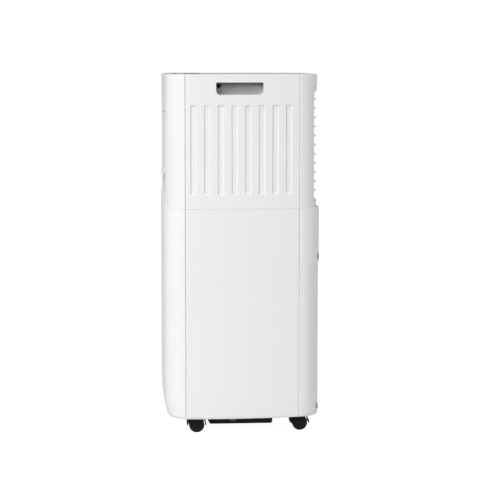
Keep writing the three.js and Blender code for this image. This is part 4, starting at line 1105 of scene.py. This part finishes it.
# %% Turned fittings
for level, z, face in (("upper", UPPER_DRAIN_Z, 150.4), ("lower", LOWER_DRAIN_Z, 149.2)):
    profile = [(0, 132), (3, 132), (3.3, 135), (3.3, 148.4), (6.6, 148.4), (6.6, face + 1.4), (5.6, face + 2),
               (4.4, face + 2), (4.0, face + 1.3), (2.2, face + 1.3), (1.8, face + 2), (0, face + 2)]
    build(f"drain_stopper_{level}", turned("y", profile, (DRAIN_X, z), 0.35, 40), "rubber_stopper",
          f"{level}_drain_plug", [f"{level}_drain_plug"])

gland = [(3.4, 138.0), (6.6, 138.0), (6.6, 152.3), (9.5, 152.3), (9.5, 153.0), (8.4, 153.5),
         (5.6, 153.5), (5.0, 152.6), (3.4, 152.6), (3.4, 138.0)]
build("cord_bush", turned("y", gland, (INLET_X, INLET_Z), 0.3, 48), "black_chassis", "cabinet",
      ["cord_inlet"])

plug = [(0, 124.0), (4.6, 124.0), (4.6, 128.3), (7.5, 128.3), (7.5, 129.7), (6.7, 130.4),
        (5.2, 130.4), (4.9, 129.2), (2.6, 129.2), (2.3, 130.2), (0, 130.2)]
build("sump_stopper", turned("x", plug, (-17.0, 26.0), 0.3, 40), "grey_plug", "pan_plug",
      ["pan_plug"])

# %% [markdown]
# ## Casters
# A twin-wheel caster is a hood over two discs. The hood is half a drum with rounded rims that
# hangs past the wheels in front and behind, and its swivel post goes up into the base. Each disc
# has a rounded tread and a shallow recess round its hub cap.

# %% Casters
CASTERS = {f"{end}_{side}": (sign * x, y) for end, x, y in (("front", 131.5, -101.3), ("back", 122.5, 102.5))
           for side, sign in SIDES}
WHEEL_R, WHEEL_GAP, WHEEL_WIDTH, TRAIL = 15.0, 5.2, 11.0, 12.0
HOOD_R, HOOD_WALL, HOOD_HALF, HOOD_EDGE = 19.0, 2.0, 17.6, 0.9


def hood(x, y):
    """Half a drum: angle goes over the wheels, and depth goes in from the outer radius."""
    axle = y + TRAIL

    def point(u, v, d):
        return np.stack([x + v, axle + (HOOD_R - d) * np.cos(u), WHEEL_R + (HOOD_R - d) * np.sin(u)], -1)

    u = np.linspace(0, np.pi, 41)
    v = edged((-HOOD_HALF, HOOD_HALF), 4.0, HOOD_EDGE)
    round_rim = lambda a, b: edge_drop(b, 0 * b, (-HOOD_HALF, HOOD_HALF), (-9, 9), (HOOD_EDGE,) * 2)
    return wall(point, u, v, HOOD_WALL, 0, round_rim)


for place, (x, y) in CASTERS.items():
    axle = (y + TRAIL, WHEEL_R)
    web = turned("x", [(2.6, x - 4.6), (10, x - 4.6), (10, x + 4.6), (2.6, x + 4.6), (2.6, x - 4.6)],
                 axle, 0.5, 32)
    neck = block((x - 4, x + 4), (y - 6, y + TRAIL + 4), (WHEEL_R + 3, WHEEL_R + 17.6), 1.2)
    stem = turned("z", [(0, 24), (4, 24), (4, 27.4), (6.4, 27.4), (6.4, 35.7), (4, 35.7), (4, 41.6),
                        (0, 41.6)], (x, y), 0.4, 32)
    build(f"caster_hood_{place}", joined(hood(x, y), web, neck, stem), "black_chassis",
          f"caster_swivel_{place}", [f"caster_housing_{place}"])
    discs = []
    for sign in (1, -1):
        near, far = x + sign * WHEEL_GAP, x + sign * (WHEEL_GAP + WHEEL_WIDTH)
        face = lambda sunk: far - sign * sunk
        tread = [(0, near), (WHEEL_R - 1.2, near), (WHEEL_R, near + sign * 1.2), (WHEEL_R, face(2.0)),
                 (WHEEL_R - 1.4, far), (9.4, far), (9.0, face(0.7)), (6.4, face(0.7)), (6.0, face(0.1)),
                 (0, far)]
        discs.append(turned("x", tread, axle, 0.7, 56))
    ends = x - WHEEL_GAP - 1, x + WHEEL_GAP + 1
    pin = turned("x", [(0, ends[0]), (2.1, ends[0]), (2.1, ends[1]), (0, ends[1])], axle, 0.2, 20)
    build(f"caster_discs_{place}", joined(*discs, pin), "black_chassis", f"caster_wheels_{place}",
          [f"caster_wheels_{place}"])

# %% [markdown]
# ## Parts that keep their CAD shape
# Inside the casing, the CAD parts are already right: they show only through the open outlet or
# with the grille off. Each gets the finish of what it is made of.

# %% Finishes for the inner parts
keeps = {
    "inner_plastic": ["outlet_duct", *[f"outlet_vane_{k}" for k in range(1, 6)], "vane_link",
                      "filter_frame", "fan_shroud", "fan_impeller", "drip_tray", "upper_drain_spout",
                      "lower_drain_spout", "condensate_tank", "float_arm"],
    "fin_block": ["evaporator_coil", "condenser_coil"],
    "copper_tube": ["suction_pipe", "discharge_pipe"],
    "aluminium_can": ["run_capacitor"],
    "steel_zinc": ["fan_motor"],
    "black_enamel": ["compressor"],
    "board_green": ["control_board"],
    "filter_net": ["filter_mesh"],
    "black_chassis": ["base_pan"],
    "dark_gloss": ["display_window"],
}
painted = 0
for paint, names in keeps.items():
    for name in names:
        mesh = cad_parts[name].data
        mesh.materials.clear()
        mesh.materials.append(paints[paint])
        painted += 1
print(painted, "CAD parts painted,", len(made_pieces), "pieces made")
